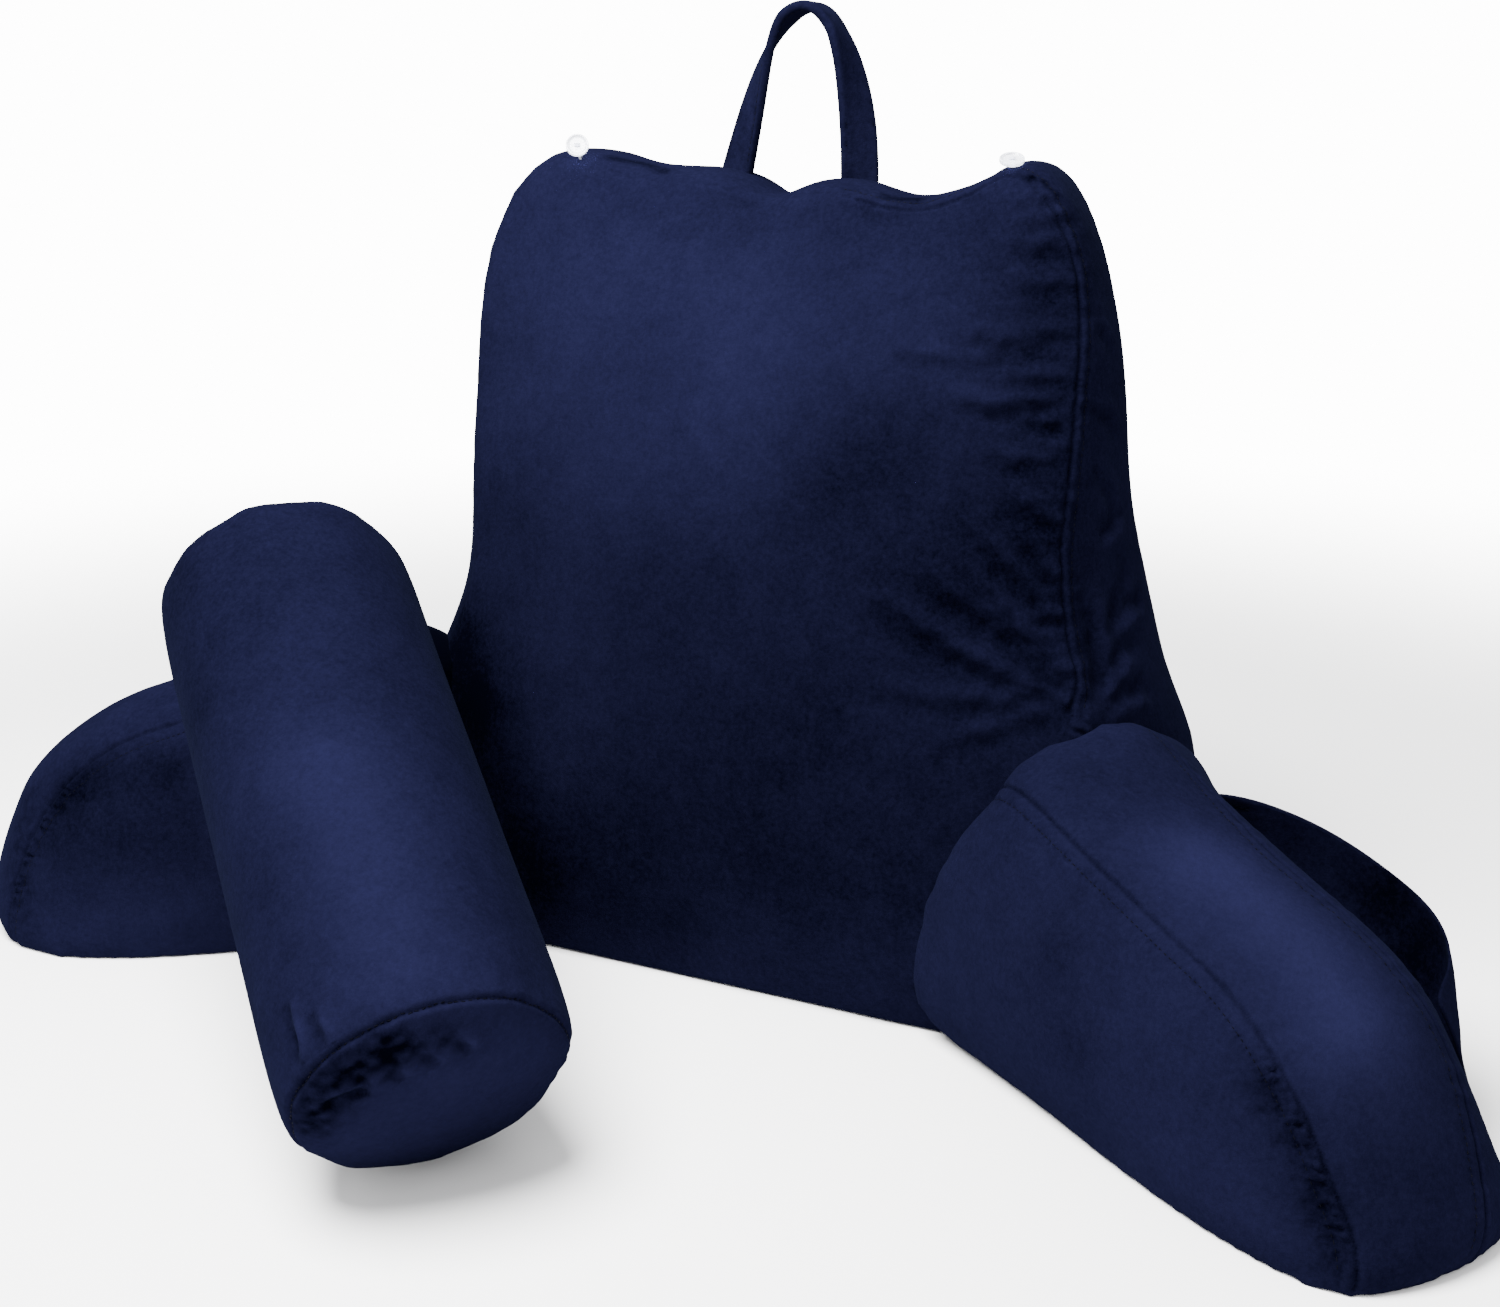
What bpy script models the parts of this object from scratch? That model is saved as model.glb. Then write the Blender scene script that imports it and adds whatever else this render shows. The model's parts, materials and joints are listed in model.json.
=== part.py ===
"""Backrest pillow with two splayed arms, a side pocket, a carrying handle and its neck roll.

Metres, +Z up. The front faces -Y, the base is centred on the origin, and left and right are as
seen from the front. Each soft piece starts as a block or a ball of even faces, and a function
carries every point of it to its place on the sewn, filled shape.
"""

from math import acos, atan2, cos, exp, pi, radians, sin, tan

import bmesh
import bpy
import numpy as np
from mathutils import Vector


class Table:
    """A short table with named columns, read on a smooth curve through its rows."""

    def __init__(self, columns, *rows):
        self.columns = columns.split()
        self.rows = np.array(rows, dtype=float)

    def at(self, column, key):
        """Return the column's value where the first column equals key."""
        keys = self.rows[:, 0]
        values = self.rows[:, self.columns.index(column)]
        key = min(max(key, keys[0]), keys[-1])
        slopes = np.gradient(values, keys)
        row = min(int(np.searchsorted(keys, key, side="right")) - 1, len(keys) - 2)
        step = keys[row + 1] - keys[row]
        t = (key - keys[row]) / step
        start = (1 + 2 * t) * (1 - t) ** 2 * values[row] + t * (1 - t) ** 2 * step * slopes[row]
        end = (3 - 2 * t) * t ** 2 * values[row + 1] - (1 - t) * t ** 2 * step * slopes[row + 1]
        return start + end


# Fit between neighbours
GAP = 0.0003
CUT_GROWTH = 0.0005

# How much the rows of a block crowd towards its edges, from 0 to 1
ROW_CROWDING = 0.5

# How far, and how high above the floor, every cushion turns under at its foot
FLOOR_TUCK = 0.010
FLOOR_TUCK_HEIGHT = 0.016

# Backrest
BACK_DEPTH = 0.24
BACK_LEAN = radians(13.7)
BACK_REAR_LEAN = radians(0.8)
FRONT_CROWN = 0.045
FRONT_FOOT = 0.009
FRONT_FOOT_SHARE = 0.25
REAR_CROWN = 0.022
GUSSET_BULGE = 0.020
TOP_CROWN = 0.012
TOP_CROWN_SHARPNESS = 4
REAR_TOP_DROP = 0.008
BACK_CELLS = (26, 6, 22)

# Half widths of the front panel's and the rear panel's seams, by share of the height
BACK_SEAMS = Table(
    "up left right rear",
    (0.00, 0.285, 0.285, 0.345),
    (0.20, 0.290, 0.295, 0.344),
    (0.32, 0.278, 0.300, 0.330),
    (0.40, 0.257, 0.294, 0.308),
    (0.46, 0.247, 0.281, 0.296),
    (0.58, 0.250, 0.262, 0.274),
    (0.72, 0.259, 0.262, 0.257),
    (0.86, 0.263, 0.257, 0.246),
    (0.94, 0.260, 0.247, 0.236),
    (1.00, 0.247, 0.231, 0.224),
)

# Folds in the front panel: middle, heading from +X towards +Z, length, width and depth
FOLD_RUN_OUT = 1.5
FRONT_FOLDS = (
    {"x": 0.215, "z": 0.505, "heading": 8, "length": 0.085, "width": 0.016, "depth": 0.005},
    {"x": 0.205, "z": 0.440, "heading": 3, "length": 0.100, "width": 0.018, "depth": 0.006},
    {"x": 0.200, "z": 0.372, "heading": -4, "length": 0.105, "width": 0.020, "depth": 0.006},
    {"x": 0.215, "z": 0.312, "heading": -14, "length": 0.110, "width": 0.018, "depth": 0.007},
    {"x": 0.205, "z": 0.268, "heading": -22, "length": 0.120, "width": 0.018, "depth": 0.007},
    {"x": 0.190, "z": 0.225, "heading": 30, "length": 0.100, "width": 0.018, "depth": 0.006},
    {"x": -0.205, "z": 0.300, "heading": 24, "length": 0.100, "width": 0.020, "depth": 0.006},
)

# Height of the top edge across the panel, from the left corner to the right one
BACK_TOP = Table(
    "across height",
    (-1.00, 0.604),
    (-0.90, 0.626),
    (-0.78, 0.634),
    (-0.60, 0.621),
    (-0.20, 0.612),
    (0.02, 0.602),
    (0.28, 0.607),
    (0.45, 0.594),
    (0.60, 0.599),
    (0.72, 0.609),
    (0.84, 0.624),
    (0.93, 0.621),
    (1.00, 0.604),
)

# Arms
ARM_SPLAY = radians(59.6)
ARM_FOOT = 0.22
ARM_ROOT = -0.12
ARM_WIDTH = 0.143
ARM_OUTER_FULLNESS = 1.05
ARM_NOSE_SHARPNESS = 8
ARM_SEAM_DRAW = 1.5
ARM_FOOT_SHARE = 0.35
ARM_CELLS = (20, 8, 10)

# The seams over each arm: place along it, height, how far each seam is drawn in, the crown of the
# band between them, and the crown of the panel below them, halfway up and at the floor
ARM_SEAMS = {
    "arm_left": Table(
        "share along height inner_in outer_in crown cheek foot",
        (0.00, -0.120, 0.196, 0.052, 0.004, 0.042, 0.030, 0.010),
        (0.18, -0.020, 0.200, 0.046, 0.004, 0.042, 0.030, 0.010),
        (0.34, 0.045, 0.230, 0.014, 0.002, 0.034, 0.032, 0.017),
        (0.48, 0.125, 0.222, 0.002, 0.000, 0.030, 0.038, 0.032),
        (0.64, 0.210, 0.178, 0.000, 0.000, 0.032, 0.036, 0.047),
        (0.80, 0.270, 0.154, 0.000, 0.000, 0.036, 0.034, 0.051),
        (0.91, 0.304, 0.128, 0.000, 0.000, 0.039, 0.022, 0.044),
        (1.00, 0.328, 0.100, 0.002, 0.002, 0.042, 0.000, 0.022),
    ),
    "arm_right": Table(
        "share along height inner_in outer_in crown cheek foot",
        (0.00, -0.120, 0.176, 0.052, 0.004, 0.045, 0.030, 0.010),
        (0.18, -0.020, 0.180, 0.046, 0.004, 0.048, 0.030, 0.010),
        (0.34, 0.045, 0.207, 0.014, 0.002, 0.032, 0.030, 0.016),
        (0.48, 0.125, 0.191, 0.002, 0.000, 0.018, 0.030, 0.023),
        (0.64, 0.200, 0.166, 0.000, 0.000, 0.016, 0.030, 0.034),
        (0.80, 0.260, 0.143, 0.000, 0.000, 0.017, 0.028, 0.039),
        (0.91, 0.292, 0.119, 0.000, 0.000, 0.021, 0.018, 0.037),
        (1.00, 0.314, 0.094, 0.002, 0.002, 0.026, 0.000, 0.022),
    ),
}

# The seams down each arm's nose, from the floor up to the end of the seams over it
ARM_NOSES = {
    "arm_left": Table(
        "up along height crown",
        (0.00, 0.374, 0.000, 0.026),
        (0.30, 0.366, 0.028, 0.034),
        (0.65, 0.351, 0.063, 0.040),
        (1.00, 0.328, 0.100, 0.042),
    ),
    "arm_right": Table(
        "up along height crown",
        (0.00, 0.376, 0.000, 0.024),
        (0.30, 0.362, 0.027, 0.028),
        (0.65, 0.340, 0.060, 0.027),
        (1.00, 0.314, 0.094, 0.026),
    ),
}

# Pocket on the right arm's outer side
POCKET_START = 0.41
POCKET_END = 0.90
POCKET_FLOOR = 0.12
POCKET_MOUTH = 0.95
POCKET_BOW = 0.060
POCKET_BOW_RISE = 1.3
POCKET_THICKNESS = 0.003
POCKET_SEAT = GAP + 0.85 * POCKET_THICKNESS
POCKET_CELLS = (14, 8)

# Handle
STRAP_WIDTH = 0.030
STRAP_THICKNESS = 0.003
HANDLE_LEFT = -0.054
HANDLE_RIGHT = 0.054
HANDLE_FOOT = 0.585
HANDLE_TOP = 0.744
HANDLE_DEPTH = 0.075
HANDLE_LEAN = 0.008
HANDLE_SQUARENESS = 0.35
HANDLE_ARCH = 0.8
HANDLE_TWIST = 0.9
HANDLE_CELLS = (32, 2)

# Buttons
BUTTON_RADIUS = 0.0092
BUTTON_THICKNESS = 0.0032
BUTTON_STEM = 0.0020
BUTTON_STEM_LENGTH = 0.012
BUTTON_STEPS = 20
BUTTONS = {
    "button_left": {"place": (-0.1755, 0.028, 0.6375), "facing": (0.42, -0.80, 0.40)},
    "button_right": {"place": (0.1875, 0.040, 0.6280), "facing": (0.15, -0.42, 0.89)},
}

# Neck roll, between the centres of its two end seams
ROLL_LOW = Vector((0.003, -0.461, 0.080))
ROLL_HIGH = Vector((-0.307, -0.211, 0.3115))
ROLL_RADIUS = 0.0950
ROLL_SEAM_SHARE = 0.965
ROLL_END_CROWN = 0.019
ROLL_END_FLATNESS = 2.5
ROLL_SWELL = 4.0
ROLL_GATHER = 0.0025
ROLL_GATHERS = 9
ROLL_GATHER_DRIFT = 3.0
ROLL_SINK = 0.002
ROLL_CELLS = (40, 30)
ROLL_END_ROWS = 6


def remove_old_objects():
    """Start from an empty scene."""
    for old in list(bpy.data.objects):
        bpy.data.objects.remove(old, do_unlink=True)


def collection(name):
    """Return a new collection linked to the scene."""
    group = bpy.data.collections.new(name)
    bpy.context.scene.collection.children.link(group)
    return group


def material(name, color, roughness, transmission=0.0):
    """Return a Principled material."""
    finish = bpy.data.materials.new(name)
    finish.use_nodes = True
    shader = finish.node_tree.nodes["Principled BSDF"]
    shader.inputs["Base Color"].default_value = (*color, 1.0)
    shader.inputs["Roughness"].default_value = roughness
    shader.inputs["Metallic"].default_value = 0.0
    shader.inputs["Transmission Weight"].default_value = transmission
    finish.diffuse_color = (*color, 1.0)
    return finish


def piece(name, mesh, finish, group):
    """Turn a bmesh into a smooth-shaded object of a collection.

    Its faces are cut into triangles here, so that a grown copy of it bends along the same lines.
    """
    bmesh.ops.recalc_face_normals(mesh, faces=mesh.faces)
    bmesh.ops.triangulate(mesh, faces=mesh.faces)
    data = bpy.data.meshes.new(name)
    mesh.to_mesh(data)
    mesh.free()
    data.shade_smooth()
    data.materials.append(finish)
    made = bpy.data.objects.new(name, data)
    group.objects.link(made)
    return made


def even_block(cells):
    """Return a block from 0 to 1 on each axis, cut into rows of faces that crowd its edges."""
    mesh = bmesh.new()
    bmesh.ops.create_cube(mesh, size=1.0)
    bmesh.ops.translate(mesh, verts=mesh.verts, vec=(0.5, 0.5, 0.5))
    for axis, count in enumerate(cells):
        normal = Vector((0.0, 0.0, 0.0))
        normal[axis] = 1.0
        for row in range(1, count):
            share = row / count
            crowded = 0.5 - 0.5 * cos(pi * share)
            place = share + (crowded - share) * ROW_CROWDING
            everything = mesh.verts[:] + mesh.edges[:] + mesh.faces[:]
            bmesh.ops.bisect_plane(mesh, geom=everything, plane_co=normal * place, plane_no=normal)
    return mesh


def carry(mesh, rule):
    """Move every point of a mesh to the place that a rule gives it."""
    for vert in mesh.verts:
        vert.co = rule(vert.co.copy())


def dome(t, fullness):
    """Return a crown that is 1 in the middle of -1 to 1 and falls to 0 at both seams."""
    return max(0.0, 1.0 - t * t) ** fullness


def tuck(height):
    """Return how far a cushion's side is turned in at a height above the floor."""
    return FLOOR_TUCK * max(0.0, 1.0 - height / FLOOR_TUCK_HEIGHT)


def fold_depth(x, z):
    """Return how deep the folds in the front panel are at a place."""
    total = 0.0
    for fold in FRONT_FOLDS:
        heading = radians(fold["heading"])
        offset_x = x - fold["x"]
        offset_z = z - fold["z"]
        along = offset_x * cos(heading) + offset_z * sin(heading)
        aside = offset_z * cos(heading) - offset_x * sin(heading)
        run_out = dome(min(1.0, abs(along) / fold["length"]), FOLD_RUN_OUT)
        total += fold["depth"] * run_out * exp(-((aside / fold["width"]) ** 2))
    return total


def backrest_point(share):
    """Carry a point of the block onto the backrest."""
    across = 2.0 * share.x - 1.0
    back = share.y
    up = share.z
    left = BACK_SEAMS.at("left", up)
    right = BACK_SEAMS.at("right", up)
    front_x = 0.5 * (right - left) + across * 0.5 * (right + left)
    rear_x = across * BACK_SEAMS.at("rear", up)
    gusset = 4.0 * back * (1.0 - back)
    height = BACK_TOP.at("height", across) - REAR_TOP_DROP * back
    z = up * height + TOP_CROWN * gusset * dome(across, 0.5) * up ** TOP_CROWN_SHARPNESS
    crown = dome(across, 0.7) * dome(2.0 * up - 1.0, 1.0)
    front_y = tan(BACK_LEAN) * z - FRONT_CROWN * crown + fold_depth(front_x, z) * dome(across, 0.3)
    rear_y = BACK_DEPTH + tan(BACK_REAR_LEAN) * z + REAR_CROWN * crown
    front_y += tuck(z) - FRONT_FOOT * max(0.0, 1.0 - up / FRONT_FOOT_SHARE) ** 2
    rear_y -= tuck(z)
    x = front_x + (rear_x - front_x) * back - tuck(z) * across
    x += GUSSET_BULGE * gusset * across * dome(2.0 * up - 1.0, 0.5)
    y = front_y + (rear_y - front_y) * back
    return Vector((x, y - 0.5 * BACK_DEPTH, z))


def profile_normal(table, key, turn):
    """Return the outward normal of an arm's seam line in its own upright plane."""
    step = 0.02
    run = table.at("along", key + step) - table.at("along", key - step)
    rise = table.at("height", key + step) - table.at("height", key - step)
    return Vector((-rise, run)).normalized() * turn


def arm_point(share, name):
    """Carry a point of the block onto one of the arms."""
    seams = ARM_SEAMS[name]
    nose = ARM_NOSES[name]
    along_share = share.x
    across = share.y
    up = share.z
    top_line = Vector((seams.at("along", along_share), seams.at("height", along_share)))
    nose_line = Vector((nose.at("along", up), nose.at("height", up)))
    root_foot = Vector((ARM_ROOT, 0.0))
    root_top = Vector((ARM_ROOT, seams.at("height", 0.0)))
    nose_foot = Vector((nose.at("along", 0.0), 0.0))
    corner = Vector((nose.at("along", 1.0), nose.at("height", 1.0)))
    foot_line = root_foot.lerp(nose_foot, along_share)
    root_line = root_foot.lerp(root_top, up)
    spot = foot_line.lerp(top_line, up) + root_line.lerp(nose_line, along_share)
    spot -= foot_line.lerp(root_top.lerp(corner, along_share), up)

    band = dome(2.0 * across - 1.0, 0.75)
    end = along_share ** ARM_NOSE_SHARPNESS
    over = profile_normal(seams, along_share, 1.0) * seams.at("crown", along_share) * up ** 3
    front = profile_normal(nose, up, -1.0) * nose.at("crown", up)
    front.y *= up
    spot.x -= tuck(spot.y) * end
    spot += over.lerp(front, end) * band

    above = max(0.0, (up - ARM_FOOT_SHARE) / (1.0 - ARM_FOOT_SHARE))
    cheek = seams.at("cheek", along_share) * dome(above, 0.7)
    under = max(0.0, 1.0 - up / ARM_FOOT_SHARE) ** 2
    cheek += (seams.at("foot", along_share) - cheek) * under - tuck(spot.y)
    drawn = up ** ARM_SEAM_DRAW
    inner = seams.at("inner_in", along_share) * drawn - cheek
    outer = ARM_WIDTH - seams.at("outer_in", along_share) * drawn + ARM_OUTER_FULLNESS * cheek
    side = -1.0 if name == "arm_left" else 1.0
    return arm_place(spot.x, inner + (outer - inner) * across, spot.y, side)


def arm_place(along, out, height, side):
    """Return the world place of a point given along, out from and above an arm's inner foot."""
    x = ARM_FOOT + along * sin(ARM_SPLAY) + out * cos(ARM_SPLAY)
    y = -along * cos(ARM_SPLAY) + out * sin(ARM_SPLAY) - 0.5 * BACK_DEPTH
    return Vector((side * x, y, height))


def pocket_point(share):
    """Carry a point of a flat grid onto the pocket, which bows away from the arm at its mouth."""
    along_share = POCKET_START + (POCKET_END - POCKET_START) * share.x
    up = POCKET_FLOOR + (POCKET_MOUTH - POCKET_FLOOR) * share.y
    on_arm = arm_point(Vector((along_share, 1.0, up)), "arm_right")
    bow = POCKET_BOW * dome(2.0 * share.x - 1.0, 0.6) * share.y ** POCKET_BOW_RISE
    out = Vector((cos(ARM_SPLAY), sin(ARM_SPLAY), 0.0))
    return on_arm + out * (POCKET_SEAT + bow)


def handle_point(share):
    """Carry a point of a flat grid onto the strap, which turns edge-on at the top of its loop."""
    turn = 2.0 * share.x - 1.0
    middle = 0.5 * (HANDLE_LEFT + HANDLE_RIGHT)
    half = 0.5 * (HANDLE_RIGHT - HANDLE_LEFT)
    swing = sin(0.5 * pi * turn)
    swing += (swing ** 3 - swing) * HANDLE_SQUARENESS
    arch = cos(0.5 * pi * turn) ** HANDLE_ARCH
    x = middle + half * swing + HANDLE_LEAN * arch
    z = HANDLE_FOOT + (HANDLE_TOP - HANDLE_FOOT) * arch
    twist = 0.5 * pi * (1.0 - abs(turn)) ** HANDLE_TWIST
    side = 1.0 if turn > 0.0 else -1.0
    outward = Vector((side * cos(twist), sin(twist), 0.0))
    return Vector((x, HANDLE_DEPTH, z)) + outward * STRAP_WIDTH * (share.y - 0.5)


def roll_point(direction):
    """Carry a point of a unit ball onto the neck roll."""
    rows = ROLL_CELLS[1] * acos(max(-1.0, min(1.0, direction.z))) / pi
    angle = atan2(direction.y, direction.x)
    from_end = min(rows, ROLL_CELLS[1] - rows)
    half = 0.5 * (ROLL_HIGH - ROLL_LOW).length
    if from_end < ROLL_END_ROWS:
        t = from_end / ROLL_END_ROWS
        radius = ROLL_SEAM_SHARE * ROLL_RADIUS * t
        along = half + ROLL_END_CROWN * (1.0 - t ** ROLL_END_FLATNESS)
    else:
        t = (from_end - ROLL_END_ROWS) / (0.5 * ROLL_CELLS[1] - ROLL_END_ROWS)
        swell = 1.0 - (1.0 - min(1.0, ROLL_SWELL * t)) ** 2
        radius = ROLL_RADIUS * (ROLL_SEAM_SHARE + (1.0 - ROLL_SEAM_SHARE) * swell)
        along = half * (1.0 - t)
    near_seam = max(0.0, 1.0 - abs(from_end - ROLL_END_ROWS) / ROLL_END_ROWS)
    radius += ROLL_GATHER * near_seam * sin(ROLL_GATHERS * angle + ROLL_GATHER_DRIFT * sin(angle))
    if rows > 0.5 * ROLL_CELLS[1]:
        along = -along
    axis = (ROLL_HIGH - ROLL_LOW).normalized()
    turn = axis.to_track_quat("Z", "Y")
    place = turn @ Vector((radius * cos(angle), radius * sin(angle), along))
    place += 0.5 * (ROLL_HIGH + ROLL_LOW)
    place.z = max(0.0, place.z - ROLL_SINK)
    return place


def grown_cutter(target, group):
    """Return a copy of an object, grown by the fit gap, to cut its neighbours with."""
    cutter = bpy.data.objects.new(target.name + "_cutter", target.data.copy())
    group.objects.link(cutter)
    for vert in cutter.data.vertices:
        vert.co += vert.normal * CUT_GROWTH
    cutter.hide_render = True
    cutter.display_type = "WIRE"
    return cutter


def cut(target, cutter):
    """Take a cutter's shape out of an object."""
    difference = target.modifiers.new("fit", "BOOLEAN")
    difference.operation = "DIFFERENCE"
    difference.solver = "EXACT"
    difference.object = cutter


def backrest(cloth, group):
    """The filled back cushion."""
    mesh = even_block(BACK_CELLS)
    carry(mesh, backrest_point)
    return piece("backrest", mesh, cloth, group)


def arm(name, cloth, group):
    """One filled arm, its root still running into the backrest."""
    mesh = even_block(ARM_CELLS)
    carry(mesh, lambda share: arm_point(share, name))
    return piece(name, mesh, cloth, group)


def sheet(name, cells, rule, thickness, cloth, group):
    """A flat grid carried to its place and given its thickness."""
    mesh = bmesh.new()
    bmesh.ops.create_grid(mesh, x_segments=cells[0], y_segments=cells[1], size=0.5)
    bmesh.ops.translate(mesh, verts=mesh.verts, vec=(0.5, 0.5, 0.0))
    carry(mesh, rule)
    made = piece(name, mesh, cloth, group)
    wall = made.modifiers.new("thickness", "SOLIDIFY")
    wall.thickness = thickness
    wall.offset = 0.0
    return made


def button(name, plastic, group):
    """A turned button with a raised rim, on a short stem of thread."""
    half = 0.5 * BUTTON_THICKNESS
    profile = [
        (0.0, 0.4 * half),
        (0.60 * BUTTON_RADIUS, 0.4 * half),
        (0.80 * BUTTON_RADIUS, half),
        (0.94 * BUTTON_RADIUS, half),
        (BUTTON_RADIUS, 0.3 * half),
        (0.94 * BUTTON_RADIUS, -0.7 * half),
        (BUTTON_STEM, -half),
        (BUTTON_STEM, -BUTTON_STEM_LENGTH),
        (0.0, -BUTTON_STEM_LENGTH),
    ]
    data = bpy.data.meshes.new(name)
    points = [(radius, 0.0, z) for radius, z in profile]
    edges = [(i, i + 1) for i in range(len(profile) - 1)]
    data.from_pydata(points, edges, [])
    data.materials.append(plastic)
    made = bpy.data.objects.new(name, data)
    group.objects.link(made)
    made.location = BUTTONS[name]["place"]
    made.rotation_euler = Vector(BUTTONS[name]["facing"]).to_track_quat("Z", "Y").to_euler()
    turned = made.modifiers.new("turned", "SCREW")
    turned.steps = BUTTON_STEPS
    turned.render_steps = BUTTON_STEPS
    turned.use_merge_vertices = True
    turned.merge_threshold = 0.0001
    turned.use_smooth_shade = True
    return made


def neck_roll(cloth, group):
    """The bolster, leaning over the left arm with its lower end on the floor."""
    mesh = bmesh.new()
    bmesh.ops.create_uvsphere(mesh, u_segments=ROLL_CELLS[0], v_segments=ROLL_CELLS[1], radius=1.0)
    carry(mesh, roll_point)
    return piece("neck_roll", mesh, cloth, group)


def main():
    """Build the pillow."""
    remove_old_objects()
    parts = collection("backrest_pillow")
    cutters = collection("cutters")
    plush = material("navy_plush", (0.012, 0.022, 0.085), 0.85)
    strap = material("navy_strap", (0.012, 0.022, 0.080), 0.85)
    clear = material("clear_plastic", (0.85, 0.90, 0.96), 0.12, 0.6)

    back = backrest(plush, parts)
    cutter = grown_cutter(back, cutters)
    left = arm("arm_left", plush, parts)
    cut(neck_roll(plush, parts), grown_cutter(left, cutters))
    cut(left, cutter)
    cut(arm("arm_right", plush, parts), cutter)
    sheet("pocket_right", POCKET_CELLS, pocket_point, POCKET_THICKNESS, plush, parts)
    cut(sheet("handle", HANDLE_CELLS, handle_point, STRAP_THICKNESS, strap, parts), cutter)
    for name in BUTTONS:
        cut(button(name, clear, parts), cutter)


if __name__ == "__main__":
    main()
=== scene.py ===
"""Looks of a backrest pillow with splayed arms, a side pocket, a strap handle and its neck roll.

Metres, +Z up, the front faces -Y, left and right as seen from the front. Every cushion starts as
a copy of its solid in the frame, is filled for a moment by Blender's cloth pressure between its
seams, and is then sewn: seams, folds, gathers and rows of stitches.
"""

import json
from math import cos, pi, radians, sin, tau

import bpy
import numpy as np
from bpy.props import FloatProperty, FloatVectorProperty, PointerProperty
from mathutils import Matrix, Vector
from mathutils.bvhtree import BVHTree
from mathutils.kdtree import KDTree

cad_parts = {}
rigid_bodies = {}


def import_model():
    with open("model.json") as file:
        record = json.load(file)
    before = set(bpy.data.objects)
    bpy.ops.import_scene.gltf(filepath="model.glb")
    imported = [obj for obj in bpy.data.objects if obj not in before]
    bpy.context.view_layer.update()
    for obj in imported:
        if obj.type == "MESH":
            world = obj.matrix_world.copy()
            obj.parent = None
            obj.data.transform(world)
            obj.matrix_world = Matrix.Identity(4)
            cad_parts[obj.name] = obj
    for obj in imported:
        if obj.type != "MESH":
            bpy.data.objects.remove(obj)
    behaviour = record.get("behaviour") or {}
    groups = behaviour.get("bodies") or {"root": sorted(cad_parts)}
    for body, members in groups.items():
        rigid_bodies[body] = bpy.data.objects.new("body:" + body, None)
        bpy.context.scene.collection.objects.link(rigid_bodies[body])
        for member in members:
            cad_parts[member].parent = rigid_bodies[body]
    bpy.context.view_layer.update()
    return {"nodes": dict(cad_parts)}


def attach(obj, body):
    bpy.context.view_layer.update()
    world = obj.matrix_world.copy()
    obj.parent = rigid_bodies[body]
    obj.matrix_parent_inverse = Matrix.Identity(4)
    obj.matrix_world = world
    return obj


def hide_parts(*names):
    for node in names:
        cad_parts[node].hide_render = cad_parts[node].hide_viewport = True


bl_info = {
    "name": "Backrest pillow",
    "version": (1, 0, 0),
    "blender": (4, 5, 0),
    "location": "View3D > Sidebar > Pillow",
    "description": "Sews the covers of a backrest pillow round its frame",
    "category": "Object",
}

for old in list(bpy.data.objects):
    bpy.data.objects.remove(old, do_unlink=True)
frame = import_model()

# The photograph's camera, and its picture in pixels
PHOTO_CENTRE = (750.0, 653.5)
PHOTO_FOCUS = 1800.0
PHOTO_WIDTH = 1500.0
SENSOR_WIDTH = 36.0
CAMERA_AZIMUTH = radians(26.2)
CAMERA_ELEVATION = radians(16.0)
CAMERA_TARGET = Vector((0.053, -0.12, 0.277))
CAMERA_DISTANCE = 1.33

# The soft studio light
KEY_AZIMUTH = radians(-10.0)
KEY_ELEVATION = radians(64.0)
KEY_TARGET = Vector((-0.10, -0.10, 0.35))
KEY_DISTANCE = 1.45

# The arms' own frame, as in the solids: along the inner foot, out from it, and up
ARM_SPLAY = radians(59.6)
ARM_FOOT = 0.22
ARM_ROOT_Y = -0.12

# Neck roll, between the centres of its two end seams
ROLL_LOW = Vector((0.003, -0.461, 0.080))
ROLL_HIGH = Vector((-0.307, -0.211, 0.3115))
ROLL_RADIUS = 0.095
ROLL_SEAM_SHARE = 0.965
ROLL_SEAM_STEPS = 48

# Strap handle: its feet face the front and each half turns edge-on on its way to the top
STRAP_WIDTH = 0.030
HANDLE_FOOT = 0.585
HANDLE_TOP = 0.741
HANDLE_DEPTH = 0.075
HANDLE_LEAN = 0.008
HANDLE_SIDES = {
    -1.0: {"half": 0.062, "turned_by": 0.80, "ease": 1.2, "drawn_in": 0.13},
    1.0: {"half": 0.052, "turned_by": 0.68, "ease": 0.8, "drawn_in": 0.00},
}

# Buttons: their places, which way they face, and the thread that holds them, which has two bars
# across the middle and a shank that sinks into the cover
BUTTONS = {
    "button_left": {"place": (-0.1755, 0.028, 0.6375), "facing": (0.42, -0.80, 0.40)},
    "button_right": {"place": (0.1875, 0.040, 0.6280), "facing": (0.15, -0.42, 0.89)},
}
BUTTON_THICKNESS = 0.0032
BUTTON_BEVEL = 0.0005
BUTTON_DISH = 0.0012
BAR_RADIUS = 0.0006
BAR_STRETCH = 4.5
BAR_OFFSET = 0.0009
SHANK_RADIUS = 0.0012
SHANK_SINK = 0.002

# Where on the pocket its mouth is looked for, as places along the arm, and how far a face may
# turn from the next one and still be on the same side of its cloth
POCKET_STATIONS = np.linspace(0.10, 0.30, 14)
POCKET_BEND = radians(50)

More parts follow.
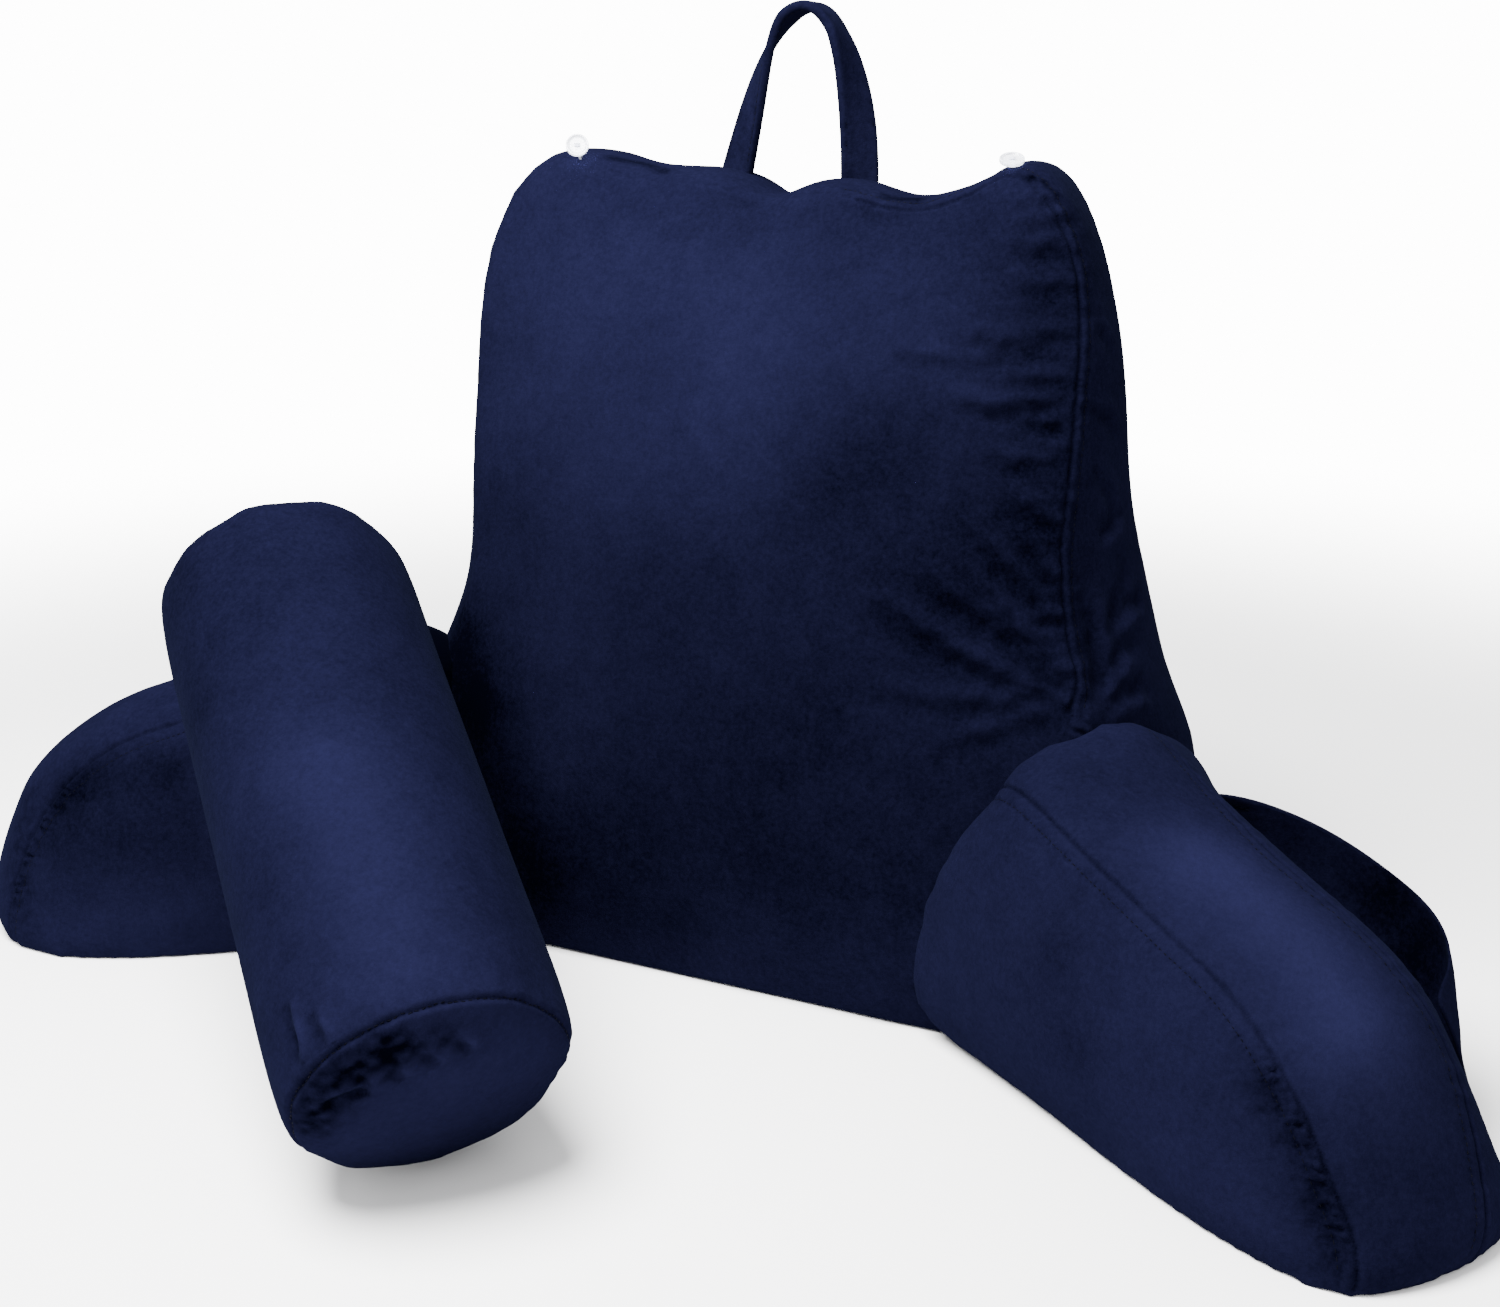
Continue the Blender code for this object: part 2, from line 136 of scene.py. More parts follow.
# Seams of each arm, from the backrest over the top and down the nose: along, up and out
ARM_SEAMS = {
    ("arm_left", "inner"): (
        (-0.020, 0.206, 0.046),
        (0.045, 0.232, 0.020),
        (0.125, 0.226, 0.015),
        (0.210, 0.184, 0.016),
        (0.270, 0.160, 0.018),
        (0.304, 0.136, 0.018),
        (0.328, 0.108, 0.018),
        (0.351, 0.071, 0.014),
        (0.366, 0.034, 0.008),
        (0.373, 0.004, -0.004),
    ),
    ("arm_left", "outer"): (
        (-0.020, 0.225, 0.139),
        (0.045, 0.236, 0.134),
        (0.125, 0.226, 0.127),
        (0.210, 0.186, 0.122),
        (0.270, 0.160, 0.124),
        (0.304, 0.134, 0.124),
        (0.328, 0.106, 0.122),
        (0.351, 0.069, 0.112),
        (0.366, 0.034, 0.100),
        (0.380, 0.004, 0.088),
    ),
    ("arm_right", "inner"): (
        (-0.020, 0.180, 0.046),
        (0.045, 0.207, 0.014),
        (0.125, 0.191, 0.002),
        (0.200, 0.166, 0.000),
        (0.260, 0.143, 0.000),
        (0.292, 0.119, 0.000),
        (0.314, 0.094, 0.002),
        (0.340, 0.060, 0.001),
        (0.362, 0.027, 0.000),
        (0.375, 0.004, -0.010),
    ),
    ("arm_right", "outer"): (
        (-0.020, 0.205, 0.139),
        (0.045, 0.214, 0.134),
        (0.133, 0.198, 0.127),
        (0.188, 0.182, 0.120),
        (0.233, 0.164, 0.122),
        (0.290, 0.136, 0.124),
        (0.331, 0.095, 0.121),
        (0.356, 0.069, 0.110),
        (0.373, 0.046, 0.098),
        (0.388, 0.004, 0.080),
    ),
}

# Points of a solid's loose triangles closer than this are one point
MERGE = 0.00001

WHITE = (1.0, 1.0, 1.0, 1.0)

# Frames for which the air pressure fills a cushion
FILL_FRAMES = 20

# Points of an arm this near the backrest are its root, which is sewn this deep into the backrest
ROOT_REACH = 0.0015
ROOT_DEPTH = 0.007


class PillowSizes(bpy.types.PropertyGroup):
    """Sizes that a user may change."""

    back_voxel: FloatProperty(
        name="Backrest voxel", description="Mesh size of the backrest before its last subdivision",
        default=0.009, min=0.004, max=0.02, unit="LENGTH",
    )
    small_voxel: FloatProperty(
        name="Arm and roll voxel",
        description="Mesh size of the arms and the roll before their last subdivision",
        default=0.006, min=0.004, max=0.02, unit="LENGTH",
    )
    swell: FloatProperty(
        name="Swell", description="The furthest that the filling may push a point of the cover",
        default=0.006, min=0.0, max=0.03, unit="LENGTH",
    )
    seam_width: FloatProperty(
        name="Seam width", description="Half width of the furrow of a seam",
        default=0.0018, min=0.0005, max=0.01, unit="LENGTH",
    )
    seam_depth: FloatProperty(
        name="Seam depth", description="How deep a seam is drawn into the filling",
        default=0.0018, min=0.0, max=0.01, unit="LENGTH",
    )
    stitch_length: FloatProperty(
        name="Stitch length", description="Length of one stitch that shows",
        default=0.0034, min=0.001, max=0.01, unit="LENGTH",
    )
    stitch_pitch: FloatProperty(
        name="Stitch pitch", description="Distance from one stitch to the next",
        default=0.0046, min=0.001, max=0.02, unit="LENGTH",
    )
    stitch_radius: FloatProperty(
        name="Thread radius", description="Radius of the sewing thread",
        default=0.00036, min=0.0001, max=0.002, unit="LENGTH",
    )
    welt_width: FloatProperty(
        name="Welt width", description="Width of the seam allowance that is topstitched along the gusset",
        default=0.009, min=0.002, max=0.03, unit="LENGTH",
    )
    hem_width: FloatProperty(
        name="Hem width", description="Width of the hem along the pocket's mouth",
        default=0.009, min=0.002, max=0.03, unit="LENGTH",
    )
    # Painted shade inside the pocket, where its pile is drawn darker
    pocket_painted_shade: FloatProperty(
        name="Pocket shade", description="How much darker the pile is inside the pocket",
        default=0.12, min=0.0, max=1.0,
    )
    row_inset: FloatProperty(
        name="Topstitch inset", description="Distance from a seam to the row of topstitches beside it",
        default=0.011, min=0.002, max=0.03, unit="LENGTH",
    )
    strap_thickness: FloatProperty(
        name="Strap thickness", description="Thickness of the folded strap",
        default=0.0075, min=0.001, max=0.012, unit="LENGTH",
    )
    pocket_thickness: FloatProperty(
        name="Pocket thickness", description="Thickness of the pocket's plush",
        default=0.0018, min=0.0005, max=0.004, unit="LENGTH",
    )
    button_radius: FloatProperty(
        name="Button radius", description="Outer radius of the two buttons",
        default=0.0092, min=0.004, max=0.02, unit="LENGTH",
    )


class PillowColours(bpy.types.PropertyGroup):
    """Colours that a user may change."""

    # The darkest tone of the plush: its pile lying flat, and also the painted shade that its pieces carry
    pile_deep_and_painted_shade: FloatVectorProperty(
        name="Pile, pushed away", description="Colour of the plush where its pile lies away from the light",
        default=(0.0003, 0.00035, 0.0013), size=3, min=0.0, max=1.0, subtype="COLOR",
    )
    # The brightest tone of the plush: its pile standing up, and also the painted light that its pieces
    # carry
    pile_raised_and_painted_light: FloatVectorProperty(
        name="Pile, raised", description="Colour of the plush where its pile stands up",
        default=(0.0058, 0.0060, 0.0202), size=3, min=0.0, max=1.0, subtype="COLOR",
    )
    pile_sheen: FloatVectorProperty(
        name="Pile sheen", description="Tint of the light that glances off the pile",
        default=(0.30, 0.38, 0.72), size=3, min=0.0, max=1.0, subtype="COLOR",
    )
    button_thread: FloatVectorProperty(
        name="Button thread", description="Colour of the thread that holds the buttons",
        default=(0.55, 0.57, 0.66), size=3, min=0.0, max=1.0, subtype="COLOR",
    )
    thread: FloatVectorProperty(
        name="Thread", description="Colour of the sewing thread",
        default=(0.0006, 0.0007, 0.0024), size=3, min=0.0, max=1.0, subtype="COLOR",
    )
    clear: FloatVectorProperty(
        name="Button plastic", description="Tint of the clear buttons",
        default=(0.88, 0.90, 0.97), size=3, min=0.0, max=1.0, subtype="COLOR",
    )
    floor: FloatVectorProperty(
        name="Floor", description="Colour of the floor",
        default=(0.90, 0.90, 0.91), size=3, min=0.0, max=1.0, subtype="COLOR",
    )


def sizes():
    """Return the sizes in use."""
    return bpy.context.scene.pillow_sizes


def colours():
    """Return the colours in use."""
    return bpy.context.scene.pillow_colours


# Places


def arm_place(name, along, up, out):
    """Return the world place of a point given in an arm's own frame."""
    side = -1.0 if name == "arm_left" else 1.0
    x = ARM_FOOT + along * sin(ARM_SPLAY) + out * cos(ARM_SPLAY)
    y = ARM_ROOT_Y - along * cos(ARM_SPLAY) + out * sin(ARM_SPLAY)
    return Vector((side * x, y, up))


def camera_axes():
    """Return the photograph's camera place and its right, up and forward directions."""
    back = Vector((
        sin(CAMERA_AZIMUTH) * cos(CAMERA_ELEVATION),
        -cos(CAMERA_AZIMUTH) * cos(CAMERA_ELEVATION),
        sin(CAMERA_ELEVATION),
    ))
    right = (-back).cross(Vector((0.0, 0.0, 1.0))).normalized()
    return CAMERA_TARGET + back * CAMERA_DISTANCE, right, back.cross(right), -back


def seen_place(skin, pixel):
    """Return the place on a skin that a pixel of the photograph shows."""
    eye, right, up, ahead = camera_axes()
    ray = ahead
    ray = ray + right * (pixel[0] - PHOTO_CENTRE[0]) / PHOTO_FOCUS
    ray = ray - up * (pixel[1] - PHOTO_CENTRE[1]) / PHOTO_FOCUS
    hit = skin.ray_cast(eye, ray.normalized())[0]
    if hit is None:
        raise RuntimeError(f"pixel {tuple(pixel)} of the photograph misses the piece")
    return hit


# Lines on the cloth


def smooth_line(points, step):
    """Return even points, step apart, on a smooth curve through the given ones."""
    points = np.array([tuple(p) for p in points])
    apart = np.linalg.norm(np.diff(points, axis=0), axis=1) > 0.0004
    points = points[np.concatenate([[True], apart])]
    keys = np.concatenate([[0.0], np.cumsum(np.linalg.norm(np.diff(points, axis=0), axis=1))])
    slopes = np.gradient(points, keys, axis=0)
    fine = np.linspace(0.0, keys[-1], max(3, int(keys[-1] / step)))
    row = np.clip(np.searchsorted(keys, fine, side="right") - 1, 0, len(keys) - 2)
    gap = keys[row + 1] - keys[row]
    t = ((fine - keys[row]) / gap)[:, None]
    gap = gap[:, None]
    start = (1 + 2 * t) * (1 - t) ** 2 * points[row] + t * (1 - t) ** 2 * gap * slopes[row]
    end = (3 - 2 * t) * t ** 2 * points[row + 1] - (1 - t) * t ** 2 * gap * slopes[row + 1]
    return start + end


class Line:
    """A line that lies on a skin, with its length, its direction and the way out of the skin."""

    def __init__(self, points, skin, step=0.002, even=3):
        points = smooth_line(points, step) if len(points) > 1 else np.array(points)
        for _ in range(even):
            points[1:-1] = 0.5 * points[1:-1] + 0.25 * (points[:-2] + points[2:])
        found = [skin.find_nearest(Vector(p)) for p in points]
        self.points = np.array([tuple(f[0]) for f in found])
        self.normals = np.array([tuple(f[1]) for f in found])
        for _ in range(4):
            self.normals[1:-1] += self.normals[:-2] + self.normals[2:]
            self.normals /= np.linalg.norm(self.normals, axis=1)[:, None]
        ahead = np.gradient(self.points, axis=0)
        self.ahead = ahead / np.maximum(np.linalg.norm(ahead, axis=1), 1e-9)[:, None]
        steps = np.linalg.norm(np.diff(self.points, axis=0), axis=1)
        self.lengths = np.concatenate([[0.0], np.cumsum(steps)])
        self.total = self.lengths[-1]

    def beside(self, skin, inset):
        """Return the line that runs beside this one on the same skin."""
        side = np.cross(self.normals, self.ahead)
        return Line(self.points + side * inset, skin, even=6)


def seen_lines(cover, rows):
    """Return the lines on a cover whose pixels the rows of a table name."""
    return [Line([seen_place(cover.skin, pixel) for pixel in row["pixels"]], cover.skin) for row in rows]


def rim(places, key, rank, stations):
    """Return, for each stretch between two stations along a key, the point that ranks highest."""
    found = []
    for low, high in zip(stations, stations[1:]):
        inside = np.flatnonzero((key >= low) & (key < high))
        if len(inside):
            found.append(places[inside[np.argmax(rank[inside])]])
    return found


# Cloth


class Cover:
    """A piece's mesh as arrays, with the searches and the moves that sewing needs, and the shade and light
    painted on its pile.
    """

    def __init__(self, made):
        self.made = made
        # Painted shade at each point, darker above 0; below 0 it is a painted highlight
        self.painted_shade_and_light = np.zeros(0)
        self.read()

    def read(self):
        """Take the points and their outward normals from the mesh."""
        mesh = self.made.data
        count = len(mesh.vertices)
        self.places = np.empty(count * 3, np.float32)
        self.outward = np.empty(count * 3, np.float32)
        mesh.vertices.foreach_get("co", self.places)
        mesh.vertex_normals.foreach_get("vector", self.outward)
        self.places = self.places.reshape(-1, 3).astype(float)
        self.outward = self.outward.reshape(-1, 3).astype(float)
        self.tree = KDTree(count)
        for index, place in enumerate(self.places):
            self.tree.insert(place, index)
        self.tree.balance()
        self.skin = skin_of(self.made)
        if len(self.painted_shade_and_light) != count:
            self.painted_shade_and_light = np.zeros(count)

    def write(self):
        """Put the points back, none below the floor, and read the new shape."""
        self.places[:, 2] = np.maximum(self.places[:, 2], 0.0)
        self.made.data.vertices.foreach_set("co", self.places.astype(np.float32).ravel())
        self.made.data.update()
        self.read()

    def near(self, line, reach):
        """Return the points near a line: index, distance, signed offset and length along it."""
        best = {}
        for row, (point, normal) in enumerate(zip(line.points, line.normals)):
            for _place, index, distance in self.tree.find_range(point, reach):
                if distance < best.get(index, (reach, 0))[0] and self.outward[index] @ normal > -0.2:
                    best[index] = (distance, row)
        index = np.array(list(best), int)
        distance = np.array([best[i][0] for i in index])
        row = np.array([best[i][1] for i in index], int)
        side = np.cross(line.normals[row], line.ahead[row])
        aside = np.einsum("ij,ij->i", self.places[index] - line.points[row], side)
        return index, distance, aside, line.lengths[row]

    def push(self, index, amount):
        """Move points along their outward normals."""
        self.places[index] += self.outward[index] * amount[:, None]


def skin_of(made):
    """Return a search tree of an object's faces."""
    return BVHTree.FromObject(made, bpy.context.evaluated_depsgraph_get())


def select_only(made):
    """Leave one object selected and active."""
    bpy.ops.object.select_all(action="DESELECT")
    made.select_set(True)
    bpy.context.view_layer.objects.active = made


def shape_with(made, name, kind, **values):
    """Give a piece a modifier and apply it."""
    modifier = made.modifiers.new(name, kind)
    for key, value in values.items():
        setattr(modifier, key, value)
    select_only(made)
    bpy.ops.object.modifier_apply(modifier=modifier.name)


def copy_node(node, name):
    """Return a copy of a solid of the frame, its loose triangles merged."""
    made = bpy.data.objects.new(name, frame["nodes"][node].data.copy())
    bpy.context.scene.collection.objects.link(made)
    made.data.materials.clear()
    select_only(made)
    bpy.ops.object.mode_set(mode="EDIT")
    bpy.ops.mesh.select_all(action="SELECT")
    bpy.ops.mesh.remove_doubles(threshold=MERGE)
    bpy.ops.object.mode_set(mode="OBJECT")
    return made


def edit_points(made, chosen, operator, **values):
    """Run one of edit mode's operators on the points of a mesh that a mask marks."""
    select_only(made)
    bpy.ops.object.mode_set(mode="EDIT")
    bpy.ops.mesh.select_mode(type="VERT")
    bpy.ops.object.mode_set(mode="OBJECT")
    mesh = made.data
    mesh.vertices.foreach_set("select", chosen)
    mesh.edges.foreach_set("select", np.zeros(len(mesh.edges), bool))
    mesh.polygons.foreach_set("select", np.zeros(len(mesh.polygons), bool))
    bpy.ops.object.mode_set(mode="EDIT")
    operator(**values)
    bpy.ops.object.mode_set(mode="OBJECT")


def inflate(cover, held, cap):
    """Fill a piece with air pressure for some frames and keep each point within the cap."""
    made = cover.made
    start = cover.places.copy()
    group = made.vertex_groups.new(name="held")
    group.add([int(i) for i in np.flatnonzero(held)], 1.0, "REPLACE")
    filling = made.modifiers.new("filling", "CLOTH")
    cloth = filling.settings
    cloth.quality = 5
    cloth.tension_stiffness = 12.0
    cloth.compression_stiffness = 12.0
    cloth.bending_stiffness = 0.4
    cloth.use_pressure = True
    cloth.uniform_pressure_force = 4.0
    cloth.effector_weights.gravity = 0.0
    cloth.vertex_group_mass = group.name
    filling.collision_settings.use_collision = False
    filling.collision_settings.use_self_collision = False
    filling.point_cache.frame_start = 1
    filling.point_cache.frame_end = FILL_FRAMES
    scene = bpy.context.scene
    for count in range(1, FILL_FRAMES + 1):
        scene.frame_set(count)
    blown = made.evaluated_get(bpy.context.evaluated_depsgraph_get())
    places = np.empty(len(start) * 3, np.float32)
    blown.data.vertices.foreach_get("co", places)
    made.modifiers.remove(filling)
    made.vertex_groups.remove(group)
    scene.frame_set(1)
    moved = places.reshape(-1, 3) - start
    length = np.maximum(np.linalg.norm(moved, axis=1), 1e-9)
    cover.places = start + moved * (cap * np.tanh(length / cap) / length)[:, None]
    cover.write()


def clearance(places, skin, reach=0.05):
    """Return how far places lie outside a skin, negative inside it, at most the reach."""
    found = np.full(len(places), reach)
    for row, place in enumerate(places):
        spot, normal, _face, distance = skin.find_nearest(Vector(place), reach)
        if spot is not None:
            found[row] = distance if (Vector(place) - spot).dot(normal) > 0.0 else -distance
    return found


def keep_clear(cover, neighbour, gap):
    """Draw in the points of a cover that come closer to a neighbour's skin than a gap."""
    for index in np.flatnonzero(clearance(cover.places, neighbour, 0.03) < gap):
        place = Vector(cover.places[index])
        spot, normal, _face, _distance = neighbour.find_nearest(place)
        cover.places[index] += np.array(normal) * (gap - (place - spot).dot(normal))
    cover.write()


def uneven(places, pitch, seed):
    """Return a soft unevenness between about -1 and 1, the same at every run."""
    phase = np.array([0.0, 2.1, 4.4]) + seed
    field = places * tau / pitch
    first = np.sin(field[:, 0] + phase[0] + 1.3 * np.sin(0.7 * field[:, 2] + phase[1]))
    second = np.sin(field[:, 2] * 1.1 + phase[2] + 1.2 * np.sin(0.8 * field[:, 1] - phase[0]))
    third = np.sin(0.6 * (field[:, 0] + field[:, 1]) - 0.9 * field[:, 2] + phase[1])
    return (first + second + third) / 3.0


def ripple(along, pitch, seed):
    """Return uneven waves along a line."""
    t = along * tau / pitch
    return 0.6 * np.sin(t + 1.6 * np.sin(0.37 * t + seed) + seed) + 0.4 * np.sin(1.73 * t + 2.0 * seed)


def sew_seam(cover, line, width, depth, puff=0.2, tone=0.5):
    """Draw a seam into a cover, with the cloth a little raised on both sides of it and shade painted along
    its furrow.
    """
    index, distance, _aside, _along = cover.near(line, 5.0 * width)
    furrow = -depth * np.exp(-((distance / width) ** 2))
    banks = puff * depth * np.exp(-(((distance - 2.4 * width) / (1.2 * width)) ** 2))
    cover.push(index, furrow + banks)
    # Shade painted along the seam's furrow
    cover.painted_shade_and_light[index] += tone * np.exp(-((distance / (0.7 * width)) ** 2))
    cover.write()


def gather(cover, line, side, pitch, height, length, start=0.0, end=1.0, skew=0.0, seed=0.0, tone=0.0):
    """Pucker the cloth on one side of a seam, or on both sides where side is 0, and paint shade into the
    puckers, darkest in their hollows.
    """
    index, distance, aside, along = cover.near(line, 3.0 * length)
    share = along / line.total
    middle = 0.5 * (start + end)
    window = np.clip(1.0 - (np.abs(share - middle) / max(0.5 * (end - start), 1e-6)) ** 4, 0.0, 1.0)
    reach = length * (1.0 + 0.45 * ripple(along, 3.7 * pitch, seed + 1.0))
    fade = np.exp(-distance / reach) * (1.0 - np.exp(-((distance / 0.003) ** 2)))
    chosen = np.ones(len(aside)) if side == 0 else (aside * side > 0.0).astype(float)
    waves = ripple(along + skew * np.abs(aside), pitch, seed)
    cover.push(index, height * waves * fade * window * chosen)
    # Painted shade in the puckers: dark in their hollows, less on their crests
    cover.painted_shade_and_light[index] += tone * (0.55 - 0.75 * waves) * fade * window * chosen
    cover.write()


def gather_seams(cover, seams, rows, mirror=1.0):
    """Pucker the cloth along a piece's seams as a table says, mirror -1 for the other sides."""
    for row in rows:
        values = {name: value for name, value in row.items() if name != "seam"}
        values["side"] *= mirror
        gather(cover, seams[row["seam"]], **values)


def fold(cover, line, width, depth, ridge=0.7, lean=1.0, tone=0.07, seed=0.0):
    """Press a soft crease into a cover, with a ridge along one side of it, shade painted in its trough and
    a highlight painted on its ridge.
    """
    index, _distance, aside, along = cover.near(line, 4.0 * width)
    run_out = np.sin(pi * np.clip(along / line.total, 0.0, 1.0)) ** 0.7
    run_out *= 0.85 + 0.25 * ripple(along, 0.031, seed)
    aside = aside + 0.3 * width * ripple(along, 0.043, seed + 2.0)
    trough = -depth * np.exp(-((aside / width) ** 2))
    crest = ridge * depth * np.exp(-(((aside - 1.5 * lean * width) / (0.9 * width)) ** 2))
    cover.push(index, (trough + crest) * run_out)
    # Shade painted in the trough and a highlight painted on the ridge
    crest_painted_highlight = np.exp(-(((aside - 1.6 * lean * width) / width) ** 2))
    trough_painted_shade = np.exp(-((aside / (1.1 * width)) ** 2))
    cover.painted_shade_and_light[index] += tone * (trough_painted_shade - crest_painted_highlight) * run_out
    cover.write()


def paint_pile_light_and_shade(cover, rows, base, seed):
    """Note at each point the tone of its pile: a little uneven, less the painted shade of seams, folds and
    puckers, plus the painted light and shade of the patches listed for the piece.
    """
    nap_painted_light_and_shade = base + 0.035 * uneven(cover.places, 0.13, seed) - cover.painted_shade_and_light
    for row in rows:
        spots = [seen_place(cover.skin, pixel) for pixel in row["pixels"]]
        spots = smooth_line(spots, 0.25 * row["radius"]) if len(spots) > 2 else np.array(spots)
        distance = np.full(len(nap_painted_light_and_shade), np.inf)
        for spot in spots:
            distance = np.minimum(distance, np.linalg.norm(cover.places - spot, axis=1))
        # Each patch is painted light above 0 and painted shade below 0
        patch = row["tone"] * np.exp(-((distance / row["radius"]) ** 2))
        nap_painted_light_and_shade += patch * (1.0 + row.get("broken", 0.0) * uneven(cover.places, 0.012, seed))
    note = cover.made.data.attributes.new("nap_painted_light_and_shade", "FLOAT", "POINT")
    note.data.foreach_set("value", nap_painted_light_and_shade)


# Materials


def shader_material(name):
    """Return a new material and its Principled BSDF."""
    finish = bpy.data.materials.new(name)
    finish.use_nodes = True
    return finish, finish.node_tree, finish.node_tree.nodes["Principled BSDF"]


def node(tree, kind, place, inputs=None, **values):
    """Add a node to a tree and set its properties and its inputs."""
    made = tree.nodes.new(kind)
    made.location = place
    for name, value in values.items():
        setattr(made, name, value)
    set_inputs(made, inputs or {})
    return made


def set_inputs(made, inputs):
    """Set the values of a node's inputs."""
    for name, value in inputs.items():
        made.inputs[name].default_value = value


def link_up(tree, *links):
    """Link nodes: from one, its output, to the other, its input."""
    for start, output, end, entry in links:
        tree.links.new(start.outputs[output], end.inputs[entry])


def opaque(colour, share=1.0):
    """Return a share of a colour, with full opacity."""
    return (*(Vector(colour) * share), 1.0)


def pile_group():
    """Return the node group of a short pile: marks where it was brushed, its height, its fibres."""
    group = bpy.data.node_groups.new("pile", "ShaderNodeTree")
    for name in ("Mark scale", "Fibre scale"):
        group.interface.new_socket(name, in_out="INPUT", socket_type="NodeSocketFloat")
    for name in ("Raised", "Height", "Fibres"):
        group.interface.new_socket(name, in_out="OUTPUT", socket_type="NodeSocketFloat")
    ins = node(group, "NodeGroupInput", (-900, 0))
    outs = node(group, "NodeGroupOutput", (700, 0))
    place = node(group, "ShaderNodeTexCoord", (-900, 300))
    uneven_marks = {"Detail": 6.0, "Roughness": 0.66, "Distortion": 0.15}
    marks = node(group, "ShaderNodeTexNoise", (-500, 300), uneven_marks)
    broad = node(group, "ShaderNodeTexNoise", (-500, 560), {"Scale": 7.0, "Detail": 2.0})
    fibres = node(group, "ShaderNodeTexNoise", (-500, 0), {"Detail": 4.0, "Roughness": 0.8})
    both = node(group, "ShaderNodeMath", (-200, 420), {1: 0.45}, operation="MULTIPLY_ADD")
    contrast = node(group, "ShaderNodeMapRange", (0, 420), {"From Min": 0.50, "From Max": 0.95})
    link_up(
        group,
        (place, "Object", marks, "Vector"),
        (place, "Object", broad, "Vector"),
        (place, "Object", fibres, "Vector"),
        (ins, "Mark scale", marks, "Scale"),
        (ins, "Fibre scale", fibres, "Scale"),
        (broad, "Fac", both, 0),
        (marks, "Fac", both, 2),
        (both, "Value", contrast, "Value"),
        (contrast, "Result", outs, "Raised"),
        (marks, "Fac", outs, "Height"),
        (fibres, "Fac", outs, "Fibres"),
    )
    return group


def plush_material(name, group, mark_scale, marks_share):
    """Return the navy plush: a short pile that is bright where it stands and dark where it lies, and the
    light and shade painted on each piece.
    """
    finish, tree, shader = shader_material(name)
    tones = colours()
    pile = node(tree, "ShaderNodeGroup", (-1100, 0), node_tree=group)
    set_inputs(pile, {"Mark scale": mark_scale, "Fibre scale": 260.0})
    # Reads the painted light and shade, and the pile's uneven tone, that each piece carries
    painted_light_input = node(tree, "ShaderNodeAttribute", (-1100, 260), attribute_name="nap_painted_light_and_shade")
    spread = {"To Min": -0.5 * marks_share - 0.25, "To Max": 0.5 * marks_share - 0.25}
    blotches = node(tree, "ShaderNodeMapRange", (-900, 120), spread)
    marked = node(tree, "ShaderNodeMath", (-700, 200), operation="ADD")
    speckle = node(tree, "ShaderNodeMath", (-500, 120), {1: 0.50}, operation="MULTIPLY_ADD")
    tone = node(tree, "ShaderNodeMix", (-300, 200), data_type="RGBA", clamp_factor=True)
    set_inputs(tone, {"A": opaque(tones.pile_deep_and_painted_shade), "B": opaque(tones.pile_raised_and_painted_light)})
    rough = node(tree, "ShaderNodeMapRange", (-300, -60), {"To Min": 0.85, "To Max": 0.62})
    marks = node(tree, "ShaderNodeBump", (-500, -300), {"Strength": 0.22, "Distance": 0.006})
    fibres = node(tree, "ShaderNodeBump", (-250, -300), {"Strength": 0.30, "Distance": 0.0008})
    link_up(
        tree,
        (pile, "Raised", blotches, "Value"),
        (painted_light_input, "Fac", marked, 0),
        (blotches, "Result", marked, 1),
        (pile, "Fibres", speckle, 0),
        (marked, "Value", speckle, 2),
        (speckle, "Value", tone, "Factor"),
        (tone, "Result", shader, "Base Color"),
        (marked, "Value", rough, "Value"),
        (rough, "Result", shader, "Roughness"),
        (pile, "Height", marks, "Height"),
        (pile, "Fibres", fibres, "Height"),
        (marks, "Normal", fibres, "Normal"),
        (fibres, "Normal", shader, "Normal"),
    )
    shader.inputs["Metallic"].default_value = 0.0
    shader.inputs["Sheen Weight"].default_value = 0.005
    shader.inputs["Sheen Roughness"].default_value = 0.4
    shader.inputs["Sheen Tint"].default_value = opaque(tones.pile_sheen)
    shader.inputs["Specular IOR Level"].default_value = 0.0
    shader.inputs["Specular Tint"].default_value = opaque(tones.pile_sheen, 0.25)
    return finish


def thread_material(name, colour):
    """Return a sewing thread, twisted and matt."""
    finish, tree, shader = shader_material(name)
    place = node(tree, "ShaderNodeTexCoord", (-700, 0))
    twist = node(tree, "ShaderNodeTexNoise", (-500, 0), {"Scale": 1500.0})
    bump = node(tree, "ShaderNodeBump", (-250, -200), {"Strength": 0.4, "Distance": 0.0003})
    tone = node(tree, "ShaderNodeMix", (-250, 100), data_type="RGBA")
    set_inputs(tone, {"A": opaque(colour, 0.6), "B": opaque(colour, 1.5)})
    link_up(
        tree,
        (place, "Object", twist, "Vector"),
        (twist, "Fac", tone, "Factor"),
        (twist, "Fac", bump, "Height"),
        (tone, "Result", shader, "Base Color"),
        (bump, "Normal", shader, "Normal"),
    )
    shader.inputs["Roughness"].default_value = 0.8
    shader.inputs["Specular IOR Level"].default_value = 0.03
    return finish


